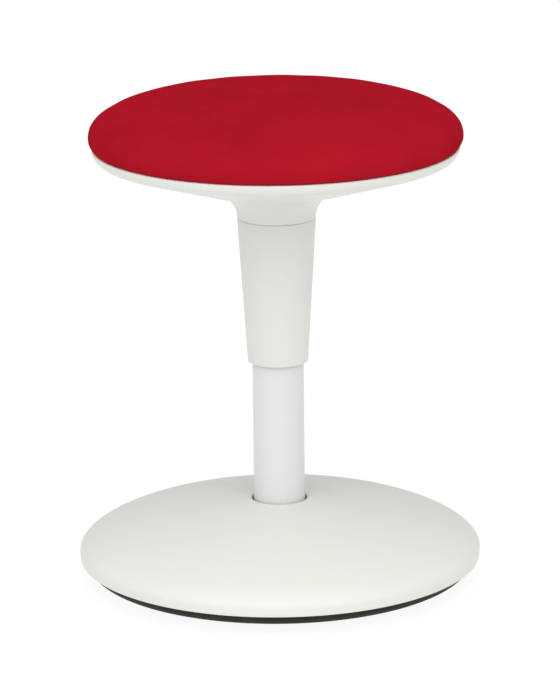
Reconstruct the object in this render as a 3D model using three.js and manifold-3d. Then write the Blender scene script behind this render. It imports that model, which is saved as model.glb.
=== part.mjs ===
// Wobble stool: a round upholstered seat on a gas-lift column that stands on a domed base with a
// slightly convex rubber sole, so that the whole stool leans and rocks with whoever sits on it.
// Millimetres, +Z up. The origin is the centre of the sole's flat, where it meets the floor.
// The seat is drawn at its highest, and the release lever points to +Y, the back.
import * as THREE from "three";
import { mergeVertices } from "three/addons/utils/BufferGeometryUtils.js";
import Module from "manifold-3d";

const wasm = await Module();
wasm.setup();

// Fits and cuts
const GAP = 0.3; // between two pieces that seat on each other or slide in each other
const OVERRUN = 2; // how far a cut runs past the face that it opens

// Facets round a full turn
const LARGE_SIDES = 36; // base and seat
const COLUMN_SIDES = 28; // stand tube, bush and hub
const BORE_SIDES = 16; // gas spring
const SMALL_SIDES = 12; // pins, bosses and seals
const SCREW_SIDES = 6;
const HEM_STEPS = 3; // in the rounds of board, fabric and rim, which lie in each other
const ROCK_STEPS = 3; // in the rocking arc of sole and pan
const DOME_STEPS = 7; // in the base cover's dome
const LEVER_STEPS = 20; // along the lever's bar

// Where the four screws of the cover, hub, plate and shell start, clear of the lever
const CORNER_START_DEG = 45;
const BACK_DEG = 90; // the direction of +Y, where the lever points

// Sole: flat in the middle, then a shallow arc that the stool rocks on
const ROCK_RADIUS = 850;
const SOLE_FLAT_RADIUS = 50;
const SOLE_THICKNESS = 5;
const SOLE_EDGE_ROUND = 9;
const SOLE_LIP_HEIGHT = 2.6; // above the centre of the edge round
const SOLE_LIP_WALL = 3;
const SOLE_INSET = 7.5; // from the cover's widest radius in to the sole's edge

// Base cover: a moulded dome with a down-turned collar round the column
const BASE_RADIUS = 196.7;
const COVER_WALL = 2.6;
const COVER_TUCK = 0.7; // how far the rim's lower edge draws in under the widest place
const COVER_RIM_LIFT = 2.5; // rim's lower edge, above the centre of the sole's edge round
const COVER_RIM_HEIGHT = 7.8; // from the rim's lower edge up to the widest place
const COVER_RISE = 52.7; // from the widest place up to the dome's own apex
const COVER_OUT_POWER = 1.3; // the dome's two superellipse powers
const COVER_UP_POWER = 1.8;
const COVER_HOLE_CLEARANCE = 2;
const COVER_COLLAR_LENGTH = 9;
const COVER_COLLAR_ROUND = 2;

// Base pan: a ribbed structural moulding between sole and cover
const PAN_WALL = 3;
const PAN_BORE_CLEARANCE = 5; // round the foot of the stand tube
const PAN_BOSS_MARGIN = 4; // outside the hub's flange
const PAN_BOSS_HEIGHT = 8.7;
const PAN_RIBS = 6;
const PAN_RIB_WALL = 3;
const PAN_SCREW_BOSS_RADIUS = 8;
const PAN_SCREW_BOSS_HEIGHT = 7;
const COVER_BOSS_RADIUS = 5.5;
const COVER_SCREWS = 4;
const COVER_SCREW_BITE = 12.7; // thread in the cover

// Ballast ring: the cast disc that brings the stool upright again
const BALLAST_INNER_MARGIN = 12; // outside the pan's centre boss
const BALLAST_OUTER_MARGIN = 14; // inside the bosses of the cover screws
const BALLAST_THICKNESS = 8;
const BALLAST_CHAMFER = 1.5;
const BALLAST_SCREWS = 3;
const BALLAST_BOSS_RADIUS = 6;
const BALLAST_SCREW_BITE = 9.4; // thread in the pan

// Hub: the casting that holds the foot of the stand tube
const HUB_WALL = 6;
const HUB_FLANGE_WIDTH = 14.7;
const HUB_FLANGE_THICKNESS = 6;
const HUB_HEADROOM = 5.5; // under the cover's collar
const HUB_CHAMFER = 2;
const HUB_BOLTS = 4;
const HUB_BOLT_BITE = 5.4; // thread in the pan
const HUB_GUSSET_WALL = 5;
const HUB_GUSSET_REACH = 11;
const HUB_GUSSET_HEIGHT_SHARE = 0.6; // of the hub above its flange

// Stand tube: the powder-coated outer tube of the gas spring
const TUBE_RADIUS = 25;
const TUBE_WALL = 1.6;
const TUBE_FOOT_DROP = 1.3; // its foot below the hub
const TUBE_TAPER_RUNOUT = 1.7; // taper above the hub
const TUBE_TAPER_DROP = 0.6;
const TUBE_LIP_WIDTH = 6.8; // rolled-in foot
const TUBE_LIP_HEIGHT = 2;
const TUBE_CHAMFER = 0.8;
const TUBE_IN_SLEEVE = 14; // overlap that is left at full height
const SLEEVE_CLEARANCE = 18.3; // between sleeve and cover at the lowest seat

// Guide bush in the top of the stand tube
const BUSH_COLLAR_HEIGHT = 2.7;
const BUSH_COLLAR_INSET = 0.6;
const BUSH_RELIEF = 1.2; // the bush bears at its two ends only

// Swivel bearing at the foot of the rod
const END_PLATE_THICKNESS = 4;
const WASHER_THICKNESS = 2;
const WASHER_MARGIN = 1.2; // past the balls' outer side
const BALL_RADIUS = 2.5;
const BALLS = 6;
const CAGE_THICKNESS = 2.4;
const CAGE_WALL = 1.1;
const CAGE_CLEARANCE = 1.4; // round the rod's foot
const BUMP_STOP_HEIGHT = 8;
const BUMP_STOP_INSET = 2.5; // inside the pressure tube's outer face
const BUMP_STOP_WAIST = 1.5;
const CLIP_THICKNESS = 1.5;
const CLIP_REACH = 3.5; // past the rod's foot
const CLIP_WASHER_REACH = 5;
const CLIP_MOUTH = 5;

// Gas spring
const STROKE = 120; // travel of the seat
const ROD_RADIUS = 5;
const ROD_FOOT_STEP = 1; // how much slimmer the foot is
const ROD_STUB_STEP = 1.5; // and the stub through the piston
const ROD_HEAD_LIP = 1.1; // riveted head outside the stub
const ROD_HEAD_HEIGHT = 1.5;
const ROD_GROOVE_DEPTH = 1;
const ROD_END = 1.8; // rod below its clip
const PRESSURE_RADIUS = 14;
const PRESSURE_WALL = 1.5;
const PRESSURE_TAIL = 10; // pressure tube below the bush at full height
const PRESSURE_LIP_WIDTH = 5;
const PRESSURE_TAPER_DROP = 0.9; // the top narrows to wedge in its socket
const INNER_WALL = 1;
const INNER_SPACE = 1; // gas passage between the inner cylinder and the pressure tube
const ROD_GUIDE_LENGTH = 9;
const ROD_SEAL_HEIGHT = 3.5;
const ROD_SEAL_LIP = 1.2;
const PISTON_HEIGHT = 12;
const PISTON_LIFT = 1.2; // above the inner cylinder's foot at full height
const PISTON_GROOVE_HEIGHT = 3.4;
const PISTON_GROOVE_DEPTH = 2;
const VALVE_BODY_HEIGHT = 21;
const VALVE_SPIGOT_HEIGHT = 5;
const VALVE_SPIGOT_WALL = 3;
const VALVE_PIN_RADIUS = 2;
const VALVE_PIN_HEAD_LIP = 2;
const VALVE_PIN_HEAD_HEIGHT = 2;
const VALVE_PIN_DOME = 1.4;
const VALVE_PIN_CLEARANCE = 1; // round its head, in the pressure tube's end
const VALVE_DISC_LIP = 2.5;
const VALVE_DISC_HEIGHT = 2;

// Seat mechanism: plate, well and taper socket
const SOCKET_WALL = 5;
const SOCKET_LENGTH = 46;
const SOCKET_CHAMFER = 1.5;
const SOCKET_CLEARANCE = 3; // above the guide bush at the lowest seat
const SOCKET_ABOVE_FLOOR = 7.6; // of the well that it stands in
const SOCKET_COLLAR_WIDTH = 6.7;
const SOCKET_COLLAR_HEIGHT = 3;
const PRESSURE_PROUD = 2; // pressure tube above its socket
const PLATE_WALL = 2.5;
const PLATE_MARGIN = 16; // round the well's mouth
const PLATE_CORNER = 16;
const PLATE_SCREW_INSET = 17; // from the plate's edges
const WELL_FLOOR_WIDTH = 16.7; // round the socket
const WELL_FLARE = 10; // of the well's wall, from floor to mouth
const MECHANISM_SCREWS = 4;
const BOLT_RADIUS = 3;
const BOLT_HEAD_RADIUS = 5.7;
const BOLT_HEAD_HEIGHT = 4;

// Release lever
const LEVER_TRAVEL_DEG = 7;
const LEVER_BAR_RADIUS = 3.5;
const LEVER_BAR_SIDES = 8;
const LEVER_PIVOT_REACH = 12.7; // from the socket's outer face
const LEVER_HEADROOM = 3.1; // between the lever's boss and the board
const LEVER_FOOT = 8; // inner end, past the column's axis
const LEVER_KNEE_REACH = 14; // from the pivot to where the bar turns down
const LEVER_BEND = 11; // length of each bend, on each side of its corner
const LEVER_BOSS_RADIUS = 6;
const LEVER_BOSS_WIDTH = 14;
const LEVER_DROP_REACH = 54; // from the pivot to where it has come down through the shell
const LEVER_DROP_CLEARANCE = 10.2; // from the shell down to the bar's middle there
const LEVER_END_REACH = 106; // from the pivot to the bar's end
const LEVER_END_CLEARANCE = 21.3; // from the shell down to the bar's middle there
const LEVER_PIN_RADIUS = 2.5;
const LEVER_PIN_HEAD_RADIUS = 4;
const LEVER_PIN_HEAD_WIDTH = 1.5;
const LEVER_EAR_WALL = 2.5;
const LEVER_EAR_RADIUS = 6.5;
const LEVER_ROOM = 2.5; // slot clearance on each side of the bar
const LEVER_SLOT_LENGTH = 39; // in the shell
const GRIP_LENGTH = 46;
const GRIP_WIDTH = 34;
const GRIP_THICKNESS = 9;
const GRIP_OVERLAP = 22; // bar held inside the grip
const GRIP_CORNER = 10;
const GRIP_ROUND = 2;

// Seat shell: a shallow bowl that flows into a short neck
const SEAT_RADIUS = 177;
const SHELL_WALL = 3;
const NECK_FLARE = 8.7; // from the sleeve's mouth out to the neck
const NECK_FILLET = 25;
const BOWL_SLOPE_DEG = 17.2;
const RIM_ROUND = 12;
const RIM_LIP = 0.4; // rim above the centre of its round
const SHELL_BOSS_INSET = 52; // from the shell's edge
const SHELL_BOSS_RADIUS = 7;
const SHELL_SCREWS = 4;
const SCREW_RADIUS = 2.2;
const SCREW_HEAD_RADIUS = 4.5;
const SCREW_HEAD_HEIGHT = 2.6;
const SCREW_RECESS = 1;
const SHELL_SCREW_BITE = 5; // thread in the board

// Column sleeve: the tapered cover that hangs from the neck
const SLEEVE_WALL = 3;
const SLEEVE_MOUTH_CLEARANCE = 1.4; // round the stand tube
const SLEEVE_LIP_ROUND = 1.3;
const SPIGOT_HEIGHT = 8;
const SPIGOT_ROOT = 6;
const SPIGOT_WALL = 2.5;

// Seat board, foam and fabric
const BOARD_THICKNESS = 10;
const BOARD_SKIN = 1; // left over the screw holes
const FABRIC_WALL = 1.3;
const FABRIC_HEM = 15; // turned in under the board
const PAD_OVERHANG = 2.8; // past the shell's rim
const PAD_DRAW_IN = 4.1; // the sides pull in towards the rim
const PAD_SIDE_HEIGHT = 13.4;
const PAD_CROWN = 37;
const PAD_OUT_POWER = 2.5; // the crown's two superellipse powers
const PAD_UP_POWER = 2.2;

// Finishes
const FINISHES = {
  whiteMoulding: { color: 0xe6e7e1, roughness: 0.45, metalness: 0 },
  whitePowderCoat: { color: 0xeaeaea, roughness: 0.4, metalness: 0 },
  redFabric: { color: 0xa81622, roughness: 0.95, metalness: 0 },
  darkRubber: { color: 0x34322f, roughness: 0.9, metalness: 0 },
  blackMoulding: { color: 0x1d1d1e, roughness: 0.6, metalness: 0 },
  foam: { color: 0xe8dfb4, roughness: 1, metalness: 0 },
  plywood: { color: 0xc9a978, roughness: 0.7, metalness: 0 },
  steel: { color: 0xb4b6b8, roughness: 0.35, metalness: 1 },
  blackSteel: { color: 0x2a2b2d, roughness: 0.55, metalness: 0.6 },
  castIron: { color: 0x3b3c3e, roughness: 0.8, metalness: 0.5 },
  brass: { color: 0xb5933f, roughness: 0.35, metalness: 1 },
};

// Working tools: outlines are points of radius and height, and every solid is closed
const point = (r, z) => new THREE.Vector2(r, z);
const radians = THREE.MathUtils.degToRad;

// A round stretch about (r, z), from one angle to another in degrees
function arc(r, z, radius, from, to, steps) {
  return Array.from({ length: steps + 1 }, (_, i) => {
    const angle = radians(from + ((to - from) * i) / steps);
    return point(r + radius * Math.cos(angle), z + radius * Math.sin(angle));
  });
}

// A quarter of a superellipse, from its widest place towards its apex
function dome(z, width, rise, outPower, upPower, endRadius, steps) {
  const last = Math.acos(Math.pow(endRadius / width, outPower / 2));
  return Array.from({ length: steps + 1 }, (_, i) => {
    const angle = (last * i) / steps;
    const out = endRadius === 0 && i === steps ? 0 : Math.pow(Math.cos(angle), 2 / outPower);
    return point(width * out, z + rise * Math.pow(Math.sin(angle), 2 / upPower));
  });
}

// The same line moved sideways, to the left of its direction
function offset(line, distance) {
  return line.map((p, i) => {
    const before = line[Math.max(i - 1, 0)];
    const after = line[Math.min(i + 1, line.length - 1)];
    const along = after.clone().sub(before).normalize();
    return point(p.x - along.y * distance, p.y + along.x * distance);
  });
}

function solidFrom(geometry) {
  geometry.deleteAttribute("normal");
  geometry.deleteAttribute("uv");
  const merged = mergeVertices(geometry);
  return new wasm.Manifold(
    new wasm.Mesh({
      numProp: 3,
      vertProperties: merged.attributes.position.array,
      triVerts: new Uint32Array(merged.index.array),
    }),
  );
}

// Turns an outline about the Z axis. One that starts and ends on the axis is left open there.
function turned(outline, sides) {
  const upright = THREE.ShapeUtils.area(outline) > 0 ? [...outline].reverse() : [...outline];
  const onAxis = upright[0].x === 0 && upright[upright.length - 1].x === 0;
  if (!onAxis) upright.push(upright[0].clone());
  return solidFrom(new THREE.LatheGeometry(upright.reverse(), sides).rotateX(Math.PI / 2));
}

// A plain ring, or a disc where the inner radius is 0
function ring(inner, outer, low, high, sides) {
  const corners = [point(inner, low), point(outer, low), point(outer, high), point(inner, high)];
  return turned(corners, sides);
}

// A round bar along Z, standing at (x, y)
function bar(radius, low, high, sides, x = 0, y = 0) {
  const geometry = new THREE.CylinderGeometry(radius, radius, high - low, sides);
  return geometry.rotateX(Math.PI / 2).translate(x, y, (low + high) / 2);
}

// A block from its least and greatest corners
function block(low, high) {
  const size = high.map((value, i) => value - low[i]);
  const middle = high.map((value, i) => (value + low[i]) / 2);
  return new THREE.BoxGeometry(...size).translate(...middle);
}

// An upright plate in the plane of the axis: an outline of radius and height, with a thickness
function web(outline, thickness) {
  const geometry = new THREE.ExtrudeGeometry(new THREE.Shape(outline), {
    depth: thickness,
    bevelEnabled: false,
  });
  return geometry.translate(0, 0, -thickness / 2).rotateX(Math.PI / 2);
}

// Copies of a shape at even steps about the Z axis
function around(count, startDeg, shape) {
  return Array.from({ length: count }, (_, i) => {
    const angle = radians(startDeg + (i * 360) / count);
    return solidFrom(shape().rotateZ(angle));
  });
}

const join = (...solids) => solids.flat().reduce((all, next) => all.add(next));
const cut = (solid, ...tools) => tools.flat().reduce((left, tool) => left.subtract(tool), solid);

// The flats of a faceted bore lie inside its radius, so the radius grows until they clear the shaft
const boreFor = (shaft, sides) => (shaft + GAP) / Math.cos(Math.PI / sides);

function piece(name, finish, solid) {
  const { vertProperties, triVerts } = solid.getMesh();
  const geometry = new THREE.BufferGeometry();
  geometry.setAttribute("position", new THREE.BufferAttribute(vertProperties, 3));
  geometry.setIndex(new THREE.BufferAttribute(triVerts, 1));
  geometry.computeVertexNormals();
  const mesh = new THREE.Mesh(geometry, new THREE.MeshStandardMaterial(FINISHES[finish]));
  mesh.name = name;
  return mesh;
}

// Radii of the column and of what goes round it
const hubOuter = TUBE_RADIUS + GAP + HUB_WALL;
const hubFlangeRadius = hubOuter + HUB_FLANGE_WIDTH;
const hubBoltCircle = (hubOuter + hubFlangeRadius) / 2;
const panBore = TUBE_RADIUS + PAN_BORE_CLEARANCE;
const panBossRadius = hubFlangeRadius + PAN_BOSS_MARGIN;
const coverHoleRadius = TUBE_RADIUS + COVER_HOLE_CLEARANCE;
const sleeveMouth = TUBE_RADIUS + SLEEVE_MOUTH_CLEARANCE + SLEEVE_WALL;
const neckRadius = sleeveMouth + NECK_FLARE;
const rodFoot = ROD_RADIUS - ROD_FOOT_STEP;
const rodStub = ROD_RADIUS - ROD_STUB_STEP;
const cageReach = BALL_RADIUS + GAP + CAGE_WALL;
const ballCircle = rodFoot + CAGE_CLEARANCE + cageReach;
const washerRadius = ballCircle + BALL_RADIUS + WASHER_MARGIN;
const bumpStopRadius = PRESSURE_RADIUS - BUMP_STOP_INSET;
const socketOuter = PRESSURE_RADIUS + GAP + SOCKET_WALL;

// Heights and radii of the base, from the floor up
const soleRadius = BASE_RADIUS - SOLE_INSET;
const edgeCentreR = soleRadius - SOLE_EDGE_ROUND;
const rockAngle = Math.asin((edgeCentreR - SOLE_FLAT_RADIUS) / (ROCK_RADIUS - SOLE_EDGE_ROUND));
const rockAngleDeg = THREE.MathUtils.radToDeg(rockAngle);
const edgeCentreZ = ROCK_RADIUS - (ROCK_RADIUS - SOLE_EDGE_ROUND) * Math.cos(rockAngle);
const lipTop = edgeCentreZ + SOLE_LIP_HEIGHT;
const panLift = SOLE_THICKNESS + GAP;
const panOuter = soleRadius - SOLE_LIP_WALL - GAP;
const panInner = panOuter - PAN_WALL;
const panFlangeLow = lipTop + GAP;
const panTop = panFlangeLow + PAN_WALL;
const panBossTop = panLift + PAN_BOSS_HEIGHT;
const coverRimLow = edgeCentreZ + COVER_RIM_LIFT;
const coverRimRadius = BASE_RADIUS - COVER_TUCK;
const coverInner = coverRimRadius - COVER_WALL;
const coverWidestZ = coverRimLow + COVER_RIM_HEIGHT;
const coverScrewCircle = panInner - PAN_SCREW_BOSS_RADIUS - PAN_WALL;
const ballastInner = panBossRadius + BALLAST_INNER_MARGIN;
const ballastOuter = coverScrewCircle - PAN_SCREW_BOSS_RADIUS - BALLAST_OUTER_MARGIN;
const ballastCircle = (ballastInner + ballastOuter) / 2;
const ballastLow = panTop + GAP;
const ballastTop = ballastLow + BALLAST_THICKNESS;

// The dome's outer line
const domeLine = dome(
  coverWidestZ, BASE_RADIUS, COVER_RISE, COVER_OUT_POWER, COVER_UP_POWER,
  coverHoleRadius + COVER_COLLAR_ROUND, DOME_STEPS,
);
const coverTop = domeLine[domeLine.length - 1].y;
const collarLow = coverTop - COVER_COLLAR_LENGTH;

// Hub, between the pan's boss and the cover's collar
const hubLow = panBossTop + GAP;
const hubFlangeTop = hubLow + HUB_FLANGE_THICKNESS;
const hubTop = collarLow - HUB_HEADROOM;

// Swivel bearing, from the tube's foot up
const tubeLow = hubLow - TUBE_FOOT_DROP;
const endPlateLow = tubeLow + TUBE_LIP_HEIGHT + GAP;
const endPlateTop = endPlateLow + END_PLATE_THICKNESS;
const lowerWasherLow = endPlateTop + GAP;
const ballCentreZ = lowerWasherLow + WASHER_THICKNESS + GAP + BALL_RADIUS;
const upperWasherLow = ballCentreZ + BALL_RADIUS + GAP;
const shoulderZ = upperWasherLow + WASHER_THICKNESS + GAP;
const bumpStopTop = shoulderZ + BUMP_STOP_HEIGHT;
const clipWasherLow = endPlateLow - GAP - CLIP_THICKNESS;
const clipLow = clipWasherLow - GAP - CLIP_THICKNESS;

// Seat heights above the joint of neck and sleeve, which is the seat group's own zero
const slope = radians(BOWL_SLOPE_DEG);
const filletCentreR = neckRadius + NECK_FILLET;
const coneStart = point(filletCentreR - NECK_FILLET * Math.sin(slope), NECK_FILLET * Math.cos(slope));
const rimCentreR = SEAT_RADIUS - RIM_ROUND;
const rimCentreZ =
  coneStart.y + (rimCentreR - coneStart.x) * Math.tan(slope) + RIM_ROUND / Math.cos(slope);
const rimTop = rimCentreZ + RIM_LIP;
const fabricRound = RIM_ROUND - SHELL_WALL - GAP; // outside of the fabric where it turns under
const boardRound = fabricRound - FABRIC_WALL - GAP;
const boardLow = rimCentreZ - boardRound;
const boardTop = boardLow + BOARD_THICKNESS;
const boardRadius = rimCentreR + boardRound;
const padLow = rimTop + GAP;
const padWidest = SEAT_RADIUS + PAD_OVERHANG;
const padWidestZ = padLow + PAD_SIDE_HEIGHT;
const plateTop = boardLow - GAP;
const plateLow = plateTop - PLATE_WALL;

// From the board down: lever, valve pin, valve, pressure tube, socket and well
const leverPivotY = socketOuter + LEVER_PIVOT_REACH;
const leverZ = boardLow - LEVER_HEADROOM - LEVER_BOSS_RADIUS;
const valveTravel = leverPivotY * Math.sin(radians(LEVER_TRAVEL_DEG));
const pinTop = leverZ - LEVER_BAR_RADIUS - GAP;
const pinHeadTop = pinTop - VALVE_PIN_DOME;
const pinHeadLow = pinHeadTop - VALVE_PIN_HEAD_HEIGHT;
const pinHeadRadius = VALVE_PIN_RADIUS + VALVE_PIN_HEAD_LIP;
const valveTop = pinHeadLow - valveTravel - GAP;
const valveLow = valveTop - VALVE_BODY_HEIGHT;
const pressureTop = valveTop + GAP + PRESSURE_WALL;
const socketTop = pressureTop - PRESSURE_PROUD;
const socketLow = socketTop - SOCKET_LENGTH;
const wellFloorTop = socketTop - SOCKET_ABOVE_FLOOR;
const wellFloorLow = wellFloorTop - PLATE_WALL;
const wellFloorRadius = socketOuter + WELL_FLOOR_WIDTH;
const wellTopRadius = wellFloorRadius + WELL_FLARE;
const plateWidth = 2 * (wellTopRadius + PLATE_MARGIN);
const mechanismScrewCircle = (plateWidth / 2 - PLATE_SCREW_INSET) * Math.SQRT2;
const shellScrewCircle = SEAT_RADIUS - SHELL_BOSS_INSET;

// Column heights above the floor, with the seat at its highest
const sleeveLow = coverTop + SLEEVE_CLEARANCE + STROKE;
const tubeTop = sleeveLow + TUBE_IN_SLEEVE;
const taperTop = hubTop + TUBE_TAPER_RUNOUT;
const bushTop = tubeTop + GAP + BUSH_COLLAR_HEIGHT;
const pressureLow = bumpStopTop + GAP + STROKE;
const bushLow = pressureLow + PRESSURE_TAIL;
const neckZ = bushTop + STROKE + SOCKET_CLEARANCE - socketLow;
const fromNeck = (z) => z - neckZ;

// Inside of the gas spring
const pressureBore = PRESSURE_RADIUS - PRESSURE_WALL;
const innerOuter = pressureBore - INNER_SPACE;
const innerBore = innerOuter - INNER_WALL;
const rodGuideLow = pressureLow + PRESSURE_WALL + GAP;
const rodSealLow = rodGuideLow + ROD_GUIDE_LENGTH + GAP;
const innerLow = rodSealLow + ROD_SEAL_HEIGHT + GAP;
const pistonLow = innerLow + PISTON_LIFT;
const pistonTop = pistonLow + PISTON_HEIGHT;
const pistonRadius = innerBore * Math.cos(Math.PI / BORE_SIDES) - GAP;

// Height of the sole's underside at a radius, and lines that follow it at a given lift
function rockHeight(r) {
  const out = Math.max(r - SOLE_FLAT_RADIUS, 0);
  return ROCK_RADIUS - Math.sqrt(ROCK_RADIUS * ROCK_RADIUS - out * out);
}

function rockLine(from, to, lift) {
  const stations = Array.from(
    { length: ROCK_STEPS },
    (_, i) => SOLE_FLAT_RADIUS + ((panInner - SOLE_FLAT_RADIUS) * i) / ROCK_STEPS,
  ).filter((r) => r > from && r < to);
  return [from, ...stations, to].map((r) => point(r, rockHeight(r) + lift));
}

// Height of the shell's conical underside at a radius
const coneHeight = (r) => coneStart.y + (r - coneStart.x) * Math.tan(slope);

// Outer radius of the stand tube at a height above the floor
function tubeRadiusAt(z) {
  const share = THREE.MathUtils.clamp((taperTop - z) / (taperTop - tubeLow), 0, 1);
  return TUBE_RADIUS - TUBE_TAPER_DROP * share;
}

// Outer radius of the pressure tube at a height above the neck joint
function pressureRadiusAt(z) {
  const share = THREE.MathUtils.clamp((z - socketLow) / (pressureTop - socketLow), 0, 1);
  return PRESSURE_RADIUS - PRESSURE_TAPER_DROP * share;
}

// Base
function rockerSole() {
  const line = [
    point(0, 0),
    ...arc(SOLE_FLAT_RADIUS, ROCK_RADIUS, ROCK_RADIUS, -90, -90 + rockAngleDeg, ROCK_STEPS),
    ...arc(edgeCentreR, edgeCentreZ, SOLE_EDGE_ROUND, -90 + rockAngleDeg, 0, 3).slice(1),
    point(soleRadius, lipTop),
    point(soleRadius - SOLE_LIP_WALL, lipTop),
    ...rockLine(0, soleRadius - SOLE_LIP_WALL, SOLE_THICKNESS).reverse(),
  ];
  return turned(line, LARGE_SIDES);
}

// A screw's hole and its head's recess stand this far out, the head's outer face this high
const coverScrewHeadLow = rockHeight(coverScrewCircle) + panLift + SCREW_RECESS;
const coverScrewBossTop = rockHeight(coverScrewCircle) + panLift + PAN_WALL + PAN_SCREW_BOSS_HEIGHT;
const shellScrewHeadLow = coneHeight(shellScrewCircle) + SCREW_RECESS;
const boltHeadReach = GAP + BOLT_HEAD_HEIGHT;

// Points of the screws: up into cover and board, down into the pan
const coverScrewPoint = coverScrewBossTop + GAP + COVER_SCREW_BITE;
const shellScrewPoint = boardLow + SHELL_SCREW_BITE;
const mechanismScrewPoint = boardTop - BOARD_SKIN - GAP;
const ballastScrewPoint = panTop - BALLAST_SCREW_BITE;
const hubBoltPoint = panBossTop - HUB_BOLT_BITE;

// A headed screw from the outer face of its head to its point
function screw(headZ, pointZ, radius, headRadius, headHeight) {
  const way = Math.sign(pointZ - headZ);
  return turned(
    [
      point(0, headZ),
      point(headRadius, headZ),
      point(headRadius, headZ + way * headHeight),
      point(radius, headZ + way * headHeight),
      point(radius, pointZ - way * radius),
      point(0, pointZ),
    ],
    SCREW_SIDES,
  );
}

const slimScrew = (headZ, pointZ) =>
  screw(headZ, pointZ, SCREW_RADIUS, SCREW_HEAD_RADIUS, SCREW_HEAD_HEIGHT);
const bolt = (headZ, pointZ) => screw(headZ, pointZ, BOLT_RADIUS, BOLT_HEAD_RADIUS, BOLT_HEAD_HEIGHT);

// Holes for them, on a circle
const slimHole = (low, high, circle) =>
  bar(boreFor(SCREW_RADIUS, SCREW_SIDES), low, high, SCREW_SIDES, circle);
const slimRecess = (headZ, circle) =>
  bar(boreFor(SCREW_HEAD_RADIUS, SCREW_SIDES), 0, headZ + SCREW_HEAD_HEIGHT + GAP, SCREW_SIDES, circle);
const boltHole = (low, high, circle) =>
  bar(boreFor(BOLT_RADIUS, SCREW_SIDES), low, high, SCREW_SIDES, circle);

function basePan() {
  const dish = turned(
    [
      ...rockLine(panBore, panOuter, panLift),
      point(panOuter, panFlangeLow),
      point(coverInner - GAP, panFlangeLow),
      point(coverInner - GAP, panTop),
      point(panInner, panTop),
      ...rockLine(panBossRadius, panInner, panLift + PAN_WALL).reverse(),
      point(panBossRadius, panBossTop),
      point(panBore, panBossTop),
    ],
    LARGE_SIDES,
  );
  const ribStart = panBossRadius - PAN_WALL;
  const ribEnd = panInner + PAN_WALL / 2;
  const ribOutline = [
    ...rockLine(ribStart, ribEnd, panLift + PAN_WALL / 2),
    point(ribEnd, panTop),
    point(ballastInner - PAN_WALL, panTop),
    point(ribStart, panBossTop),
  ];
  const rib = () => web(ribOutline, PAN_RIB_WALL);
  const bossLow = rockHeight(ballastCircle) + panLift + PAN_WALL / 2;
  const ballastBoss = () => bar(BALLAST_BOSS_RADIUS, bossLow, panTop, SMALL_SIDES, ballastCircle);
  const screwBossLow = coverScrewHeadLow + SCREW_HEAD_HEIGHT / 2;
  const screwBoss = () =>
    bar(PAN_SCREW_BOSS_RADIUS, screwBossLow, coverScrewBossTop, SMALL_SIDES, coverScrewCircle);
  const ballastHole = () => boltHole(ballastScrewPoint - GAP, panTop + OVERRUN, ballastCircle);
  const screwHole = () => slimHole(0, coverScrewBossTop + OVERRUN, coverScrewCircle);
  const screwRecess = () => slimRecess(coverScrewHeadLow, coverScrewCircle);
  const hubHole = () => boltHole(hubBoltPoint - GAP, panBossTop + OVERRUN, hubBoltCircle);
  return cut(
    join(
      dish,
      around(PAN_RIBS, 0, rib),
      around(BALLAST_SCREWS, BACK_DEG, ballastBoss),
      around(COVER_SCREWS, CORNER_START_DEG, screwBoss),
    ),
    around(BALLAST_SCREWS, BACK_DEG, ballastHole),
    around(COVER_SCREWS, CORNER_START_DEG, screwHole),
    around(COVER_SCREWS, CORNER_START_DEG, screwRecess),
    around(HUB_BOLTS, CORNER_START_DEG, hubHole),
  );
}

function ballastRing() {
  const disc = turned(
    [
      point(ballastInner, ballastLow),
      point(ballastOuter, ballastLow),
      point(ballastOuter, ballastTop - BALLAST_CHAMFER),
      point(ballastOuter - BALLAST_CHAMFER, ballastTop),
      point(ballastInner, ballastTop),
    ],
    LARGE_SIDES,
  );
  const hole = () => boltHole(ballastLow - OVERRUN, ballastTop + OVERRUN, ballastCircle);
  return cut(disc, around(BALLAST_SCREWS, BACK_DEG, hole));
}

function baseCover() {
  const inner = offset(domeLine, COVER_WALL);
  const collarRound = arc(
    coverHoleRadius + COVER_COLLAR_ROUND, coverTop - COVER_COLLAR_ROUND, COVER_COLLAR_ROUND, 90, 180, 2,
  );
  const shell = turned(
    [
      point(coverInner, coverRimLow),
      point(coverRimRadius, coverRimLow),
      ...domeLine,
      ...collarRound.slice(1),
      point(coverHoleRadius, collarLow),
      point(coverHoleRadius + COVER_WALL, collarLow),
      point(coverHoleRadius + COVER_WALL, coverTop - COVER_WALL - COVER_COLLAR_ROUND),
      ...inner.slice(0, -1).reverse(),
    ],
    LARGE_SIDES,
  );
  const filled = turned([point(0, 0), ...offset(domeLine, COVER_WALL / 2), point(0, coverTop)], LARGE_SIDES);
  const bossLow = coverScrewBossTop + GAP;
  const boss = () => bar(COVER_BOSS_RADIUS, bossLow, coverTop, SMALL_SIDES, coverScrewCircle);
  const hole = () => slimHole(coverScrewBossTop, coverScrewPoint + GAP, coverScrewCircle);
  const bosses = around(COVER_SCREWS, CORNER_START_DEG, boss).map((solid) => solid.intersect(filled));
  return cut(join(shell, bosses), around(COVER_SCREWS, CORNER_START_DEG, hole));
}

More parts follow.
